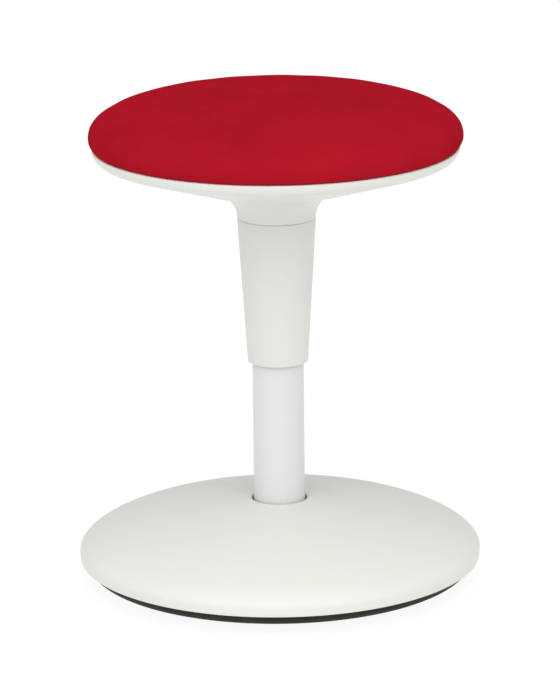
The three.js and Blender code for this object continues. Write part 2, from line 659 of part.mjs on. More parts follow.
function baseHub() {
  const body = turned(
    [
      point(tubeRadiusAt(hubLow) + GAP, hubLow),
      point(hubFlangeRadius, hubLow),
      point(hubFlangeRadius, hubFlangeTop),
      point(hubOuter, hubFlangeTop),
      point(hubOuter, hubTop - HUB_CHAMFER),
      point(hubOuter - HUB_CHAMFER, hubTop),
      point(tubeRadiusAt(hubTop) + GAP, hubTop),
    ],
    COLUMN_SIDES,
  );
  const root = hubOuter - HUB_WALL / 2;
  const gussetTop = hubFlangeTop + (hubTop - hubFlangeTop) * HUB_GUSSET_HEIGHT_SHARE;
  const gussetOutline = [
    point(root, hubFlangeTop - HUB_CHAMFER),
    point(hubOuter + HUB_GUSSET_REACH, hubFlangeTop - HUB_CHAMFER),
    point(hubOuter + HUB_GUSSET_REACH, hubFlangeTop + HUB_CHAMFER),
    point(hubOuter, gussetTop),
    point(root, gussetTop),
  ];
  const gusset = () => web(gussetOutline, HUB_GUSSET_WALL);
  const hole = () => boltHole(hubLow - OVERRUN, hubFlangeTop + OVERRUN, hubBoltCircle);
  return cut(join(body, around(HUB_BOLTS, 0, gusset)), around(HUB_BOLTS, CORNER_START_DEG, hole));
}

function standTube() {
  const bore = (z) => tubeRadiusAt(z) - TUBE_WALL;
  const lip = tubeRadiusAt(tubeLow) - TUBE_LIP_WIDTH;
  const lipTopZ = tubeLow + TUBE_LIP_HEIGHT;
  return turned(
    [
      point(lip, tubeLow),
      point(tubeRadiusAt(tubeLow), tubeLow),
      point(tubeRadiusAt(taperTop), taperTop),
      point(TUBE_RADIUS, tubeTop - TUBE_CHAMFER),
      point(TUBE_RADIUS - TUBE_CHAMFER, tubeTop),
      point(bore(tubeTop), tubeTop),
      point(bore(taperTop), taperTop),
      point(bore(lipTopZ), lipTopZ),
      point(lip, lipTopZ),
    ],
    COLUMN_SIDES,
  );
}

function guideBush() {
  const outer = TUBE_RADIUS - TUBE_WALL - GAP;
  const inner = boreFor(PRESSURE_RADIUS, COLUMN_SIDES);
  const land = (tubeTop - bushLow) / 4; // bearing length at each end
  return turned(
    [
      point(inner, bushLow),
      point(outer, bushLow),
      point(outer, tubeTop + GAP),
      point(TUBE_RADIUS - BUSH_COLLAR_INSET, tubeTop + GAP),
      point(TUBE_RADIUS - BUSH_COLLAR_INSET, bushTop),
      point(inner, bushTop),
      point(inner, bushTop - land),
      point(inner + BUSH_RELIEF, bushTop - land - BUSH_RELIEF),
      point(inner + BUSH_RELIEF, bushLow + land + BUSH_RELIEF),
      point(inner, bushLow + land),
    ],
    COLUMN_SIDES,
  );
}

const endPlate = () =>
  ring(
    boreFor(rodFoot, COLUMN_SIDES), tubeRadiusAt(tubeLow) - TUBE_WALL - GAP,
    endPlateLow, endPlateTop, COLUMN_SIDES,
  );

const thrustWasher = (low) =>
  ring(boreFor(rodFoot, BORE_SIDES), washerRadius, low, low + WASHER_THICKNESS, BORE_SIDES);

const clipWasher = () =>
  ring(
    boreFor(rodFoot, BORE_SIDES), rodFoot + CLIP_WASHER_REACH,
    clipWasherLow, clipWasherLow + CLIP_THICKNESS, BORE_SIDES,
  );

const thrustBall = () =>
  solidFrom(new THREE.IcosahedronGeometry(BALL_RADIUS, 1).translate(0, 0, ballCentreZ));

// Bearing cage, with a pocket for each ball
function thrustCage() {
  const low = ballCentreZ - CAGE_THICKNESS / 2;
  const high = ballCentreZ + CAGE_THICKNESS / 2;
  const body = ring(ballCircle - cageReach, ballCircle + cageReach, low, high, BORE_SIDES);
  const bore = boreFor(BALL_RADIUS, SCREW_SIDES);
  const pocket = () => bar(bore, low - OVERRUN, high + OVERRUN, SCREW_SIDES, ballCircle);
  return cut(body, around(BALLS, 0, pocket));
}

// Rod, piston and what is threaded on the rod
function pistonRod() {
  const groove = rodFoot - ROD_GROOVE_DEPTH;
  const low = clipLow - GAP - ROD_END;
  const headLow = pistonTop + GAP;
  const headRadius = rodStub + ROD_HEAD_LIP;
  return turned(
    [
      point(0, low),
      point(rodFoot, low),
      point(rodFoot, clipLow - GAP),
      point(groove, clipLow - GAP),
      point(groove, clipWasherLow),
      point(rodFoot, clipWasherLow),
      point(rodFoot, shoulderZ),
      point(ROD_RADIUS, shoulderZ),
      point(ROD_RADIUS, pistonLow - GAP),
      point(rodStub, pistonLow - GAP),
      point(rodStub, headLow),
      point(headRadius, headLow),
      point(headRadius, headLow + ROD_HEAD_HEIGHT),
      point(0, headLow + ROD_HEAD_HEIGHT),
    ],
    BORE_SIDES,
  );
}

const grooveLow = (pistonLow + pistonTop - PISTON_GROOVE_HEIGHT) / 2;

function pistonBody() {
  const bore = boreFor(rodStub, BORE_SIDES);
  const groove = pistonRadius - PISTON_GROOVE_DEPTH;
  return turned(
    [
      point(bore, pistonLow),
      point(pistonRadius, pistonLow),
      point(pistonRadius, grooveLow),
      point(groove, grooveLow),
      point(groove, grooveLow + PISTON_GROOVE_HEIGHT),
      point(pistonRadius, grooveLow + PISTON_GROOVE_HEIGHT),
      point(pistonRadius, pistonTop),
      point(bore, pistonTop),
    ],
    BORE_SIDES,
  );
}

const pistonRing = () =>
  ring(
    pistonRadius - PISTON_GROOVE_DEPTH + GAP, pistonRadius + GAP / 2,
    grooveLow + GAP, grooveLow + PISTON_GROOVE_HEIGHT - GAP, BORE_SIDES,
  );

function bumpStop() {
  const bore = boreFor(ROD_RADIUS, BORE_SIDES);
  return turned(
    [
      point(bore, shoulderZ),
      point(bumpStopRadius, shoulderZ),
      point(bumpStopRadius - BUMP_STOP_WAIST, (shoulderZ + bumpStopTop) / 2),
      point(bumpStopRadius, bumpStopTop),
      point(bore, bumpStopTop),
    ],
    BORE_SIDES,
  );
}

// An open retaining clip, with its mouth to the back
function rodClip() {
  const outer = rodFoot + CLIP_REACH;
  const high = clipLow + CLIP_THICKNESS;
  const body = ring(boreFor(rodFoot - ROD_GROOVE_DEPTH, BORE_SIDES), outer, clipLow, high, BORE_SIDES);
  const mouth = block(
    [-CLIP_MOUTH / 2, 0, clipLow - OVERRUN],
    [CLIP_MOUTH / 2, outer + OVERRUN, high + OVERRUN],
  );
  return cut(body, solidFrom(mouth));
}

// Pressure tube and what it holds, measured from the neck joint
function pressureTube() {
  const low = fromNeck(pressureLow);
  const lip = PRESSURE_RADIUS - PRESSURE_LIP_WIDTH;
  const topRadius = pressureRadiusAt(pressureTop);
  const opening = pinHeadRadius + VALVE_PIN_CLEARANCE;
  return turned(
    [
      point(lip, low),
      point(PRESSURE_RADIUS, low),
      point(PRESSURE_RADIUS, socketLow),
      point(topRadius, pressureTop),
      point(opening, pressureTop),
      point(opening, pressureTop - PRESSURE_WALL),
      point(topRadius - PRESSURE_WALL, pressureTop - PRESSURE_WALL),
      point(pressureBore, socketLow),
      point(pressureBore, low + PRESSURE_WALL),
      point(lip, low + PRESSURE_WALL),
    ],
    BORE_SIDES,
  );
}

const innerCylinder = () => ring(innerBore, innerOuter, fromNeck(innerLow), valveLow - GAP, BORE_SIDES);

const rodGuide = () =>
  ring(
    boreFor(ROD_RADIUS, BORE_SIDES), pressureBore - GAP,
    fromNeck(rodGuideLow), fromNeck(rodGuideLow) + ROD_GUIDE_LENGTH, BORE_SIDES,
  );

function rodSeal() {
  const bore = boreFor(ROD_RADIUS, BORE_SIDES);
  const outer = pressureBore - GAP;
  const low = fromNeck(rodSealLow);
  const high = low + ROD_SEAL_HEIGHT;
  return turned(
    [
      point(bore, low),
      point(outer, low),
      point(outer, high),
      point(outer - ROD_SEAL_LIP, high),
      point((bore + outer) / 2, low + ROD_SEAL_LIP),
      point(bore + ROD_SEAL_LIP, high),
      point(bore, high),
    ],
    BORE_SIDES,
  );
}

function valveBody() {
  const bore = boreFor(VALVE_PIN_RADIUS, BORE_SIDES);
  const spigotOuter = innerBore - GAP;
  const spigotInner = spigotOuter - VALVE_SPIGOT_WALL;
  const spigotLow = valveLow - VALVE_SPIGOT_HEIGHT;
  const shoulder = (z) => pressureRadiusAt(z) - PRESSURE_WALL - GAP;
  return turned(
    [
      point(bore, valveLow),
      point(spigotInner, valveLow),
      point(spigotInner, spigotLow),
      point(spigotOuter, spigotLow),
      point(spigotOuter, valveLow),
      point(shoulder(valveLow), valveLow),
      point(shoulder(valveTop), valveTop),
      point(bore, valveTop),
    ],
    BORE_SIDES,
  );
}

function valvePin() {
  const disc = valveLow - GAP;
  const discRadius = VALVE_PIN_RADIUS + VALVE_DISC_LIP;
  return turned(
    [
      point(0, disc - VALVE_DISC_HEIGHT),
      point(discRadius, disc - VALVE_DISC_HEIGHT),
      point(discRadius, disc),
      point(VALVE_PIN_RADIUS, disc),
      point(VALVE_PIN_RADIUS, pinHeadLow),
      point(pinHeadRadius, pinHeadLow),
      ...dome(pinHeadTop, pinHeadRadius, VALVE_PIN_DOME, 2, 2, 0, 3),
    ],
    SMALL_SIDES,
  );
}

// Seat mechanism
function taperSocket() {
  const collar = socketOuter + SOCKET_COLLAR_WIDTH;
  const collarTop = wellFloorLow - GAP;
  return turned(
    [
      point(pressureRadiusAt(socketLow) + GAP, socketLow),
      point(socketOuter - SOCKET_CHAMFER, socketLow),
      point(socketOuter, socketLow + SOCKET_CHAMFER),
      point(socketOuter, collarTop - SOCKET_COLLAR_HEIGHT),
      point(collar, collarTop - SOCKET_COLLAR_HEIGHT),
      point(collar, collarTop),
      point(socketOuter, collarTop),
      point(socketOuter, socketTop),
      point(pressureRadiusAt(socketTop) + GAP, socketTop),
    ],
    BORE_SIDES,
  );
}

// A rectangle with round corners, centred on the origin
function roundedRectangle(width, length, corner, steps) {
  const across = width / 2 - corner;
  const along = length / 2 - corner;
  return [
    ...arc(across, along, corner, 0, 90, steps),
    ...arc(-across, along, corner, 90, 180, steps),
    ...arc(-across, -along, corner, 180, 270, steps),
    ...arc(across, -along, corner, 270, 360, steps),
  ];
}

const leverSlotHalf = LEVER_BAR_RADIUS + LEVER_ROOM;
const earInner = LEVER_BOSS_WIDTH / 2 + GAP;
const earOuter = earInner + LEVER_EAR_WALL;

// A round bar along X, through (y, z)
function crossBar(radius, from, to, sides, y, z) {
  const geometry = new THREE.CylinderGeometry(radius, radius, to - from, sides);
  return geometry.rotateZ(Math.PI / 2).translate((from + to) / 2, y, z);
}

const atPivot = (radius, from, to) =>
  solidFrom(crossBar(radius, from, to, SMALL_SIDES, leverPivotY, leverZ));

function mechanismPlate() {
  const square = new THREE.Shape(roundedRectangle(plateWidth, plateWidth, PLATE_CORNER, 2));
  const plate = new THREE.ExtrudeGeometry(square, { depth: PLATE_WALL, bevelEnabled: false });
  const outside = turned(
    [
      point(0, wellFloorLow),
      point(wellFloorRadius, wellFloorLow),
      point(wellTopRadius, plateLow),
      point(wellTopRadius, plateTop),
      point(0, plateTop),
    ],
    COLUMN_SIDES,
  );
  const inside = turned(
    [
      point(0, wellFloorTop),
      point(wellFloorRadius - PLATE_WALL, wellFloorTop),
      point(wellTopRadius - PLATE_WALL, plateLow),
      point(wellTopRadius - PLATE_WALL, plateTop + OVERRUN),
      point(0, plateTop + OVERRUN),
    ],
    COLUMN_SIDES,
  );
  const ear = (side) => {
    const ends = [side * earInner, side * earOuter].sort((a, b) => a - b);
    const leg = block(
      [ends[0], leverPivotY - LEVER_EAR_RADIUS, wellFloorLow],
      [ends[1], leverPivotY + LEVER_EAR_RADIUS, leverZ],
    );
    return join(solidFrom(leg), atPivot(LEVER_EAR_RADIUS, ends[0], ends[1])).intersect(outside);
  };
  const socketHole = bar(socketOuter + GAP, wellFloorLow - OVERRUN, wellFloorTop + OVERRUN, BORE_SIDES);
  const slot = block(
    [-leverSlotHalf, leverPivotY, wellFloorTop + PLATE_WALL],
    [leverSlotHalf, wellTopRadius + OVERRUN, plateLow - GAP],
  );
  const pinHole = atPivot(boreFor(LEVER_PIN_RADIUS, SMALL_SIDES), -earOuter - OVERRUN, earOuter + OVERRUN);
  const screwHole = () => boltHole(plateLow - OVERRUN, plateTop + OVERRUN, mechanismScrewCircle);
  return cut(
    join(cut(join(solidFrom(plate.translate(0, 0, plateLow)), outside), inside), ear(-1), ear(1)),
    solidFrom(socketHole),
    solidFrom(slot),
    pinHole,
    around(MECHANISM_SCREWS, CORNER_START_DEG, screwHole),
  );
}

function leverPin() {
  const headed = earOuter + GAP;
  return join(
    atPivot(LEVER_PIN_RADIUS, -headed, headed),
    [-1, 1].map((side) => {
      const ends = [side * headed, side * (headed + LEVER_PIN_HEAD_WIDTH)].sort((a, b) => a - b);
      return atPivot(LEVER_PIN_HEAD_RADIUS, ends[0], ends[1]);
    }),
  );
}

// Corners of the lever's bar in its own plane, from its pivot: straight over the valve pin, down
// through the shell, then out below it
const belowShell = (reach, clearance) =>
  new THREE.Vector2(reach, coneHeight(leverPivotY + reach) - clearance - leverZ);
const leverCorners = [
  new THREE.Vector2(-leverPivotY - LEVER_FOOT, 0),
  new THREE.Vector2(LEVER_KNEE_REACH, 0),
  belowShell(LEVER_DROP_REACH, LEVER_DROP_CLEARANCE),
  belowShell(LEVER_END_REACH, LEVER_END_CLEARANCE),
];

// How far from the column's axis the bar passes through the shell, with the lever lifted by an angle
function leverCrossing(liftDeg) {
  const [knee, drop] = leverCorners.slice(1, 3).map((corner) => {
    const turnedCorner = corner.clone().rotateAround(new THREE.Vector2(0, 0), radians(liftDeg));
    return turnedCorner.add(new THREE.Vector2(leverPivotY, leverZ));
  });
  const above = knee.y - coneHeight(knee.x);
  const below = coneHeight(drop.x) - drop.y;
  return knee.x + ((drop.x - knee.x) * above) / (above + below);
}

// A path through corners, each bent over the same length on either side
function bentPath(corners, bend) {
  const path = new THREE.CurvePath();
  let start = corners[0];
  corners.slice(1, -1).forEach((corner, i) => {
    const into = corner.clone().add(corners[i].clone().sub(corner).setLength(bend));
    const out = corner.clone().add(corners[i + 2].clone().sub(corner).setLength(bend));
    path.add(new THREE.LineCurve3(start, into));
    path.add(new THREE.QuadraticBezierCurve3(into, corner, out));
    start = out;
  });
  path.add(new THREE.LineCurve3(start, corners[corners.length - 1]));
  return path;
}

function releaseLever() {
  const section = new THREE.Shape(arc(0, 0, LEVER_BAR_RADIUS, 0, 360, LEVER_BAR_SIDES).slice(0, -1));
  const barShape = new THREE.ExtrudeGeometry(section, {
    steps: LEVER_STEPS,
    bevelEnabled: false,
    extrudePath: bentPath(leverCorners.map((corner) => new THREE.Vector3(0, corner.x, corner.y)), LEVER_BEND),
  });
  const half = LEVER_BOSS_WIDTH / 2;
  const boss = crossBar(LEVER_BOSS_RADIUS, -half, half, SMALL_SIDES, 0, 0);
  const bore = boreFor(LEVER_PIN_RADIUS, SMALL_SIDES);
  const hole = crossBar(bore, -LEVER_BOSS_WIDTH, LEVER_BOSS_WIDTH, SMALL_SIDES, 0, 0);
  return cut(join(solidFrom(barShape), solidFrom(boss)), solidFrom(hole));
}

// Grip, in the plane of the bar's outer stretch, with its mouth at the origin and its length along +Y
function leverGrip() {
  const outline = roundedRectangle(
    GRIP_WIDTH - 2 * GRIP_ROUND, GRIP_LENGTH - 2 * GRIP_ROUND, GRIP_CORNER - GRIP_ROUND, 3,
  );
  const paddle = new THREE.ExtrudeGeometry(new THREE.Shape(outline), {
    depth: GRIP_THICKNESS - 2 * GRIP_ROUND,
    bevelThickness: GRIP_ROUND,
    bevelSize: GRIP_ROUND,
    bevelSegments: 2,
  });
  paddle.translate(0, GRIP_LENGTH / 2, GRIP_ROUND - GRIP_THICKNESS / 2);
  const bore = boreFor(LEVER_BAR_RADIUS, LEVER_BAR_SIDES);
  const hole = new THREE.CylinderGeometry(bore, bore, GRIP_OVERLAP + GAP + OVERRUN, LEVER_BAR_SIDES);
  return cut(solidFrom(paddle), solidFrom(hole.translate(0, (GRIP_OVERLAP + GAP - OVERRUN) / 2, 0)));
}

// Seat board, shell and sleeve
function seatBoard() {
  const disc = turned(
    [
      point(0, boardLow),
      ...arc(rimCentreR, rimCentreZ, boardRound, -90, 0, HEM_STEPS),
      point(boardRadius, boardTop),
      point(0, boardTop),
    ],
    LARGE_SIDES,
  );
  const plateHole = () => boltHole(boardLow - OVERRUN, boardTop - BOARD_SKIN, mechanismScrewCircle);
  const shellHole = () => slimHole(boardLow - OVERRUN, boardTop - BOARD_SKIN, shellScrewCircle);
  return cut(
    disc,
    around(MECHANISM_SCREWS, CORNER_START_DEG, plateHole),
    around(SHELL_SCREWS, CORNER_START_DEG, shellHole),
  );
}

// The bowl's line from the neck to the rim, with the wall's depth taken off
const bowlLine = (depth, filletSteps) => [
  ...arc(filletCentreR, 0, NECK_FILLET + depth, 180, 90 + BOWL_SLOPE_DEG, filletSteps),
  ...arc(rimCentreR, rimCentreZ, RIM_ROUND - depth, -90 + BOWL_SLOPE_DEG, 0, HEM_STEPS),
];

function seatShell() {
  const bowl = turned(
    [
      ...bowlLine(0, 4),
      point(SEAT_RADIUS, rimTop),
      point(SEAT_RADIUS - SHELL_WALL, rimTop),
      ...bowlLine(SHELL_WALL, 3).reverse(),
    ],
    LARGE_SIDES,
  );
  const middle = bowlLine(SHELL_WALL / 2, 4);
  const filled = turned([point(0, middle[0].y), ...middle, point(0, rimCentreZ)], LARGE_SIDES);
  const boss = () => bar(SHELL_BOSS_RADIUS, 0, boardLow - GAP, SMALL_SIDES, shellScrewCircle);
  const hole = () => slimHole(0, boardLow + OVERRUN, shellScrewCircle);
  const recess = () => slimRecess(shellScrewHeadLow, shellScrewCircle);
  const slotEnd = LEVER_SLOT_LENGTH / 2 - leverSlotHalf;
  const stadium = new THREE.Shape([
    ...arc(0, slotEnd, leverSlotHalf, 0, 180, 5),
    ...arc(0, -slotEnd, leverSlotHalf, 180, 360, 5),
  ]);
  const slot = new THREE.ExtrudeGeometry(stadium, { depth: plateLow, bevelEnabled: false });
  slot.translate(0, (leverCrossing(0) + leverCrossing(LEVER_TRAVEL_DEG)) / 2, 0);
  const bosses = around(SHELL_SCREWS, CORNER_START_DEG, boss).map((solid) => solid.intersect(filled));
  return cut(
    join(bowl, bosses),
    around(SHELL_SCREWS, CORNER_START_DEG, hole),
    around(SHELL_SCREWS, CORNER_START_DEG, recess),
    solidFrom(slot),
  );
}

function columnSleeve() {
  const low = fromNeck(sleeveLow);
  const outerAt = (z) => THREE.MathUtils.mapLinear(z, low, 0, sleeveMouth, neckRadius);
  const lipCentre = low + SLEEVE_LIP_ROUND;
  const spigotOuter = neckRadius - SHELL_WALL - GAP;
  const spigotInner = spigotOuter - SPIGOT_WALL;
  const rootLow = -SPIGOT_ROOT - SPIGOT_WALL;
  return turned(
    [
      ...arc(sleeveMouth - SLEEVE_WALL + SLEEVE_LIP_ROUND, lipCentre, SLEEVE_LIP_ROUND, 180, 270, 2),
      ...arc(sleeveMouth - SLEEVE_LIP_ROUND, lipCentre, SLEEVE_LIP_ROUND, 270, 360, 3),
      point(outerAt(-GAP), -GAP),
      point(spigotOuter, -GAP),
      point(spigotOuter, SPIGOT_HEIGHT),
      point(spigotInner, SPIGOT_HEIGHT),
      point(spigotInner, -SPIGOT_ROOT),
      point(outerAt(rootLow) - SLEEVE_WALL, rootLow),
    ],
    LARGE_SIDES,
  );
}

// The pad's line from its foot by the rim to the crown's apex, drawn in by an inset
function padLine(inset, sideSteps, crownSteps) {
  const footR = padWidest - PAD_DRAW_IN - inset / 2;
  const width = padWidest - inset;
  const side = Array.from({ length: sideSteps }, (_, i) => {
    const angle = (Math.PI / 2) * (1 - i / sideSteps);
    const drop = PAD_SIDE_HEIGHT - inset;
    return point(footR + (width - footR) * Math.cos(angle), padWidestZ - drop * Math.sin(angle));
  });
  return [...side, ...dome(padWidestZ, width, PAD_CROWN - inset, PAD_OUT_POWER, PAD_UP_POWER, 0, crownSteps)];
}

function foamPad() {
  const inset = FABRIC_WALL + GAP;
  const line = padLine(inset, 2, 5);
  return turned([point(0, boardTop + GAP), point(boardRadius + GAP, boardTop + GAP), ...line], LARGE_SIDES);
}

function fabricCover() {
  const hem = rimCentreR - FABRIC_HEM;
  const inside = fabricRound - FABRIC_WALL;
  return turned(
    [
      point(hem, rimCentreZ - fabricRound),
      ...arc(rimCentreR, rimCentreZ, fabricRound, -90, 0, HEM_STEPS),
      point(rimCentreR + fabricRound, padLow),
      ...padLine(0, 3, 6),
      ...padLine(FABRIC_WALL, 2, 5).reverse(),
      point(rimCentreR + inside, padLow + FABRIC_WALL),
      ...arc(rimCentreR, rimCentreZ, inside, 0, -90, HEM_STEPS),
      point(hem, rimCentreZ - inside),
    ],
    LARGE_SIDES,
  );
}

// Assembly: one group for each body that moves
const stool = new THREE.Group();
const bearing = new THREE.Group();
const rod = new THREE.Group();
const seat = new THREE.Group();
const lever = new THREE.Group();
const grip = new THREE.Group();
stool.add(bearing, rod, seat);
seat.position.z = neckZ;
seat.add(lever);
lever.position.set(0, leverPivotY, leverZ);
lever.add(grip);
const outerStretch = leverCorners[3].clone().sub(leverCorners[2]);
const gripMouth = leverCorners[3].clone().sub(outerStretch.clone().setLength(GRIP_OVERLAP));
grip.position.set(0, gripMouth.x, gripMouth.y);
grip.rotation.x = outerStretch.angle();

// Copies of one piece at even steps on a circle, each its own mesh
function addCopies(group, name, finish, count, startDeg, circle, make) {
  for (let i = 0; i < count; i += 1) {
    const angle = radians(startDeg + (i * 360) / count);
    const copy = piece(`${name}_${i + 1}`, finish, make());
    copy.position.set(circle * Math.cos(angle), circle * Math.sin(angle), 0);
    group.add(copy);
  }
}

stool.add(
  piece("rocker_sole", "darkRubber", rockerSole()),
  piece("base_pan", "blackMoulding", basePan()),
  piece("ballast_ring", "castIron", ballastRing()),
  piece("base_cover", "whiteMoulding", baseCover()),
  piece("base_hub", "castIron", baseHub()),
  piece("stand_tube", "whitePowderCoat", standTube()),
  piece("tube_end_plate", "steel", endPlate()),
  piece("guide_bush", "blackMoulding", guideBush()),
  piece("lower_thrust_washer", "steel", thrustWasher(lowerWasherLow)),
);
addCopies(stool, "ballast_screw", "blackSteel", BALLAST_SCREWS, BACK_DEG, ballastCircle, () =>
  bolt(ballastTop + boltHeadReach, ballastScrewPoint),
);
addCopies(stool, "cover_screw", "steel", COVER_SCREWS, CORNER_START_DEG, coverScrewCircle, () =>
  slimScrew(coverScrewHeadLow, coverScrewPoint),
);
addCopies(stool, "hub_bolt", "blackSteel", HUB_BOLTS, CORNER_START_DEG, hubBoltCircle, () =>
  bolt(hubFlangeTop + boltHeadReach, hubBoltPoint),
);

bearing.add(piece("thrust_cage", "brass", thrustCage()));
addCopies(bearing, "thrust_ball", "steel", BALLS, 0, ballCircle, thrustBall);

rod.add(
  piece("piston_rod", "steel", pistonRod()),
  piece("piston", "steel", pistonBody()),
  piece("piston_ring", "blackMoulding", pistonRing()),
  piece("upper_thrust_washer", "steel", thrustWasher(upperWasherLow)),
  piece("bump_stop", "darkRubber", bumpStop()),
  piece("clip_washer", "steel", clipWasher()),
  piece("rod_clip", "blackSteel", rodClip()),
);

seat.add(
  piece("pressure_tube", "blackSteel", pressureTube()),
  piece("inner_cylinder", "steel", innerCylinder()),
  piece("rod_guide", "blackMoulding", rodGuide()),
  piece("rod_seal", "darkRubber", rodSeal()),
  piece("valve_body", "blackMoulding", valveBody()),
  piece("valve_pin", "brass", valvePin()),
  piece("taper_socket", "blackSteel", taperSocket()),
  piece("mechanism_plate", "blackSteel", mechanismPlate()),
  piece("lever_pin", "steel", leverPin()),
  piece("seat_board", "plywood", seatBoard()),
  piece("seat_shell", "whiteMoulding", seatShell()),
  piece("column_sleeve", "whiteMoulding", columnSleeve()),
  piece("foam_pad", "foam", foamPad()),
  piece("fabric_cover", "redFabric", fabricCover()),
);
addCopies(seat, "mechanism_screw", "steel", MECHANISM_SCREWS, CORNER_START_DEG, mechanismScrewCircle, () =>
  bolt(plateLow - boltHeadReach, mechanismScrewPoint),
);
addCopies(seat, "shell_screw", "steel", SHELL_SCREWS, CORNER_START_DEG, shellScrewCircle, () =>
  slimScrew(shellScrewHeadLow, shellScrewPoint),
);

lever.add(piece("release_lever", "blackSteel", releaseLever()));
grip.add(piece("lever_grip", "blackMoulding", leverGrip()));

export default stool;
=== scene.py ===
"""Looks of a wobble stool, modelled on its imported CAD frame. Lengths are in metres."""

import math

import bpy
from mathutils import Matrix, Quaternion, Vector


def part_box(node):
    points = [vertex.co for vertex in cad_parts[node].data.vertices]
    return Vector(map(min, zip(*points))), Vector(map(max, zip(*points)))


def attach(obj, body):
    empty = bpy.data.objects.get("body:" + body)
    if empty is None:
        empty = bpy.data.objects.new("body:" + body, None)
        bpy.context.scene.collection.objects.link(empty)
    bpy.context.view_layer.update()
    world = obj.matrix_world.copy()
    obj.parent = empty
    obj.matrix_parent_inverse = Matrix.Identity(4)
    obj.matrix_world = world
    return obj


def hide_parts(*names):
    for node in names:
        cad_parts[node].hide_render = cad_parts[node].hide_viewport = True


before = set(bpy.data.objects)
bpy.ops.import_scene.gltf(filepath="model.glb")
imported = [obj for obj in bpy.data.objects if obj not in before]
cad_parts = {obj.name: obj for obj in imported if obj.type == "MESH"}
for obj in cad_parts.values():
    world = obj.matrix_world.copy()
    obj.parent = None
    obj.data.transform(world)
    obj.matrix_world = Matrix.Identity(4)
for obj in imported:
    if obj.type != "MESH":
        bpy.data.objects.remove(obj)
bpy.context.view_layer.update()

bl_info = {
    "name": "Wobble stool",
    "version": (1, 0, 0),
    "blender": (4, 5, 0),
    "location": "3D View > Sidebar > Stool",
    "description": "Models and finishes a rocking, swivelling stool with a padded seat",
    "category": "Add Mesh",
}

MM = 0.001
GAP = 0.3 * MM  # between two pieces that seat on each other
QUARTER = math.pi / 2
SMOOTH_ANGLE = math.radians(35)
TURN_STEPS = 144  # round the base and the seat
SCREW_STEPS = 24
SEED_SIZE = 1 * MM  # the plane that an outline starts from
WELD = 0.005 * MM
OVERRUN = 2 * MM  # how far a cutter runs past the face that it opens

SOLE_LOW, SOLE_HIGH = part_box("rocker_sole")
COVER_LOW, COVER_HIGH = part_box("base_cover")
TUBE_LOW, TUBE_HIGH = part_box("stand_tube")
SLEEVE_LOW, SLEEVE_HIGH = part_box("column_sleeve")
SHELL_LOW, SHELL_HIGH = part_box("seat_shell")
BOARD_LOW, BOARD_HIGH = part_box("seat_board")
FABRIC_LOW, FABRIC_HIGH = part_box("fabric_cover")
SHELL_SCREW_LOW, SHELL_SCREW_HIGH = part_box("shell_screw_1")
COVER_SCREW_LOW, COVER_SCREW_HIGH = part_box("cover_screw_1")
PIN_LOW, PIN_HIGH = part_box("lever_pin")
PIVOT = (PIN_LOW + PIN_HIGH) / 2

SCREW_HEAD = 4.5 * MM  # radius
SCREW_HEAD_HEIGHT = 2.6 * MM
SCREW_SHANK = 2.2 * MM  # radius
SCREW_BORE = SCREW_SHANK + GAP
SCREW_RECESS = SCREW_HEAD + GAP
DOME_OUT_POWER = 1.3  # the base's dome is a quarter of a superellipse
DOME_UP_POWER = 1.8


def circle_of(low, high):
    """Distance from the column's axis to the middle of a box."""
    return ((low + high) / 2).xy.length


def linear(hex_code):
    """Linear RGBA of an sRGB hex value."""
    shares = [int(hex_code[i : i + 2], 16) / 255 for i in (1, 3, 5)]
    return [s / 12.92 if s <= 0.04045 else ((s + 0.055) / 1.055) ** 2.4 for s in shares] + [1.0]


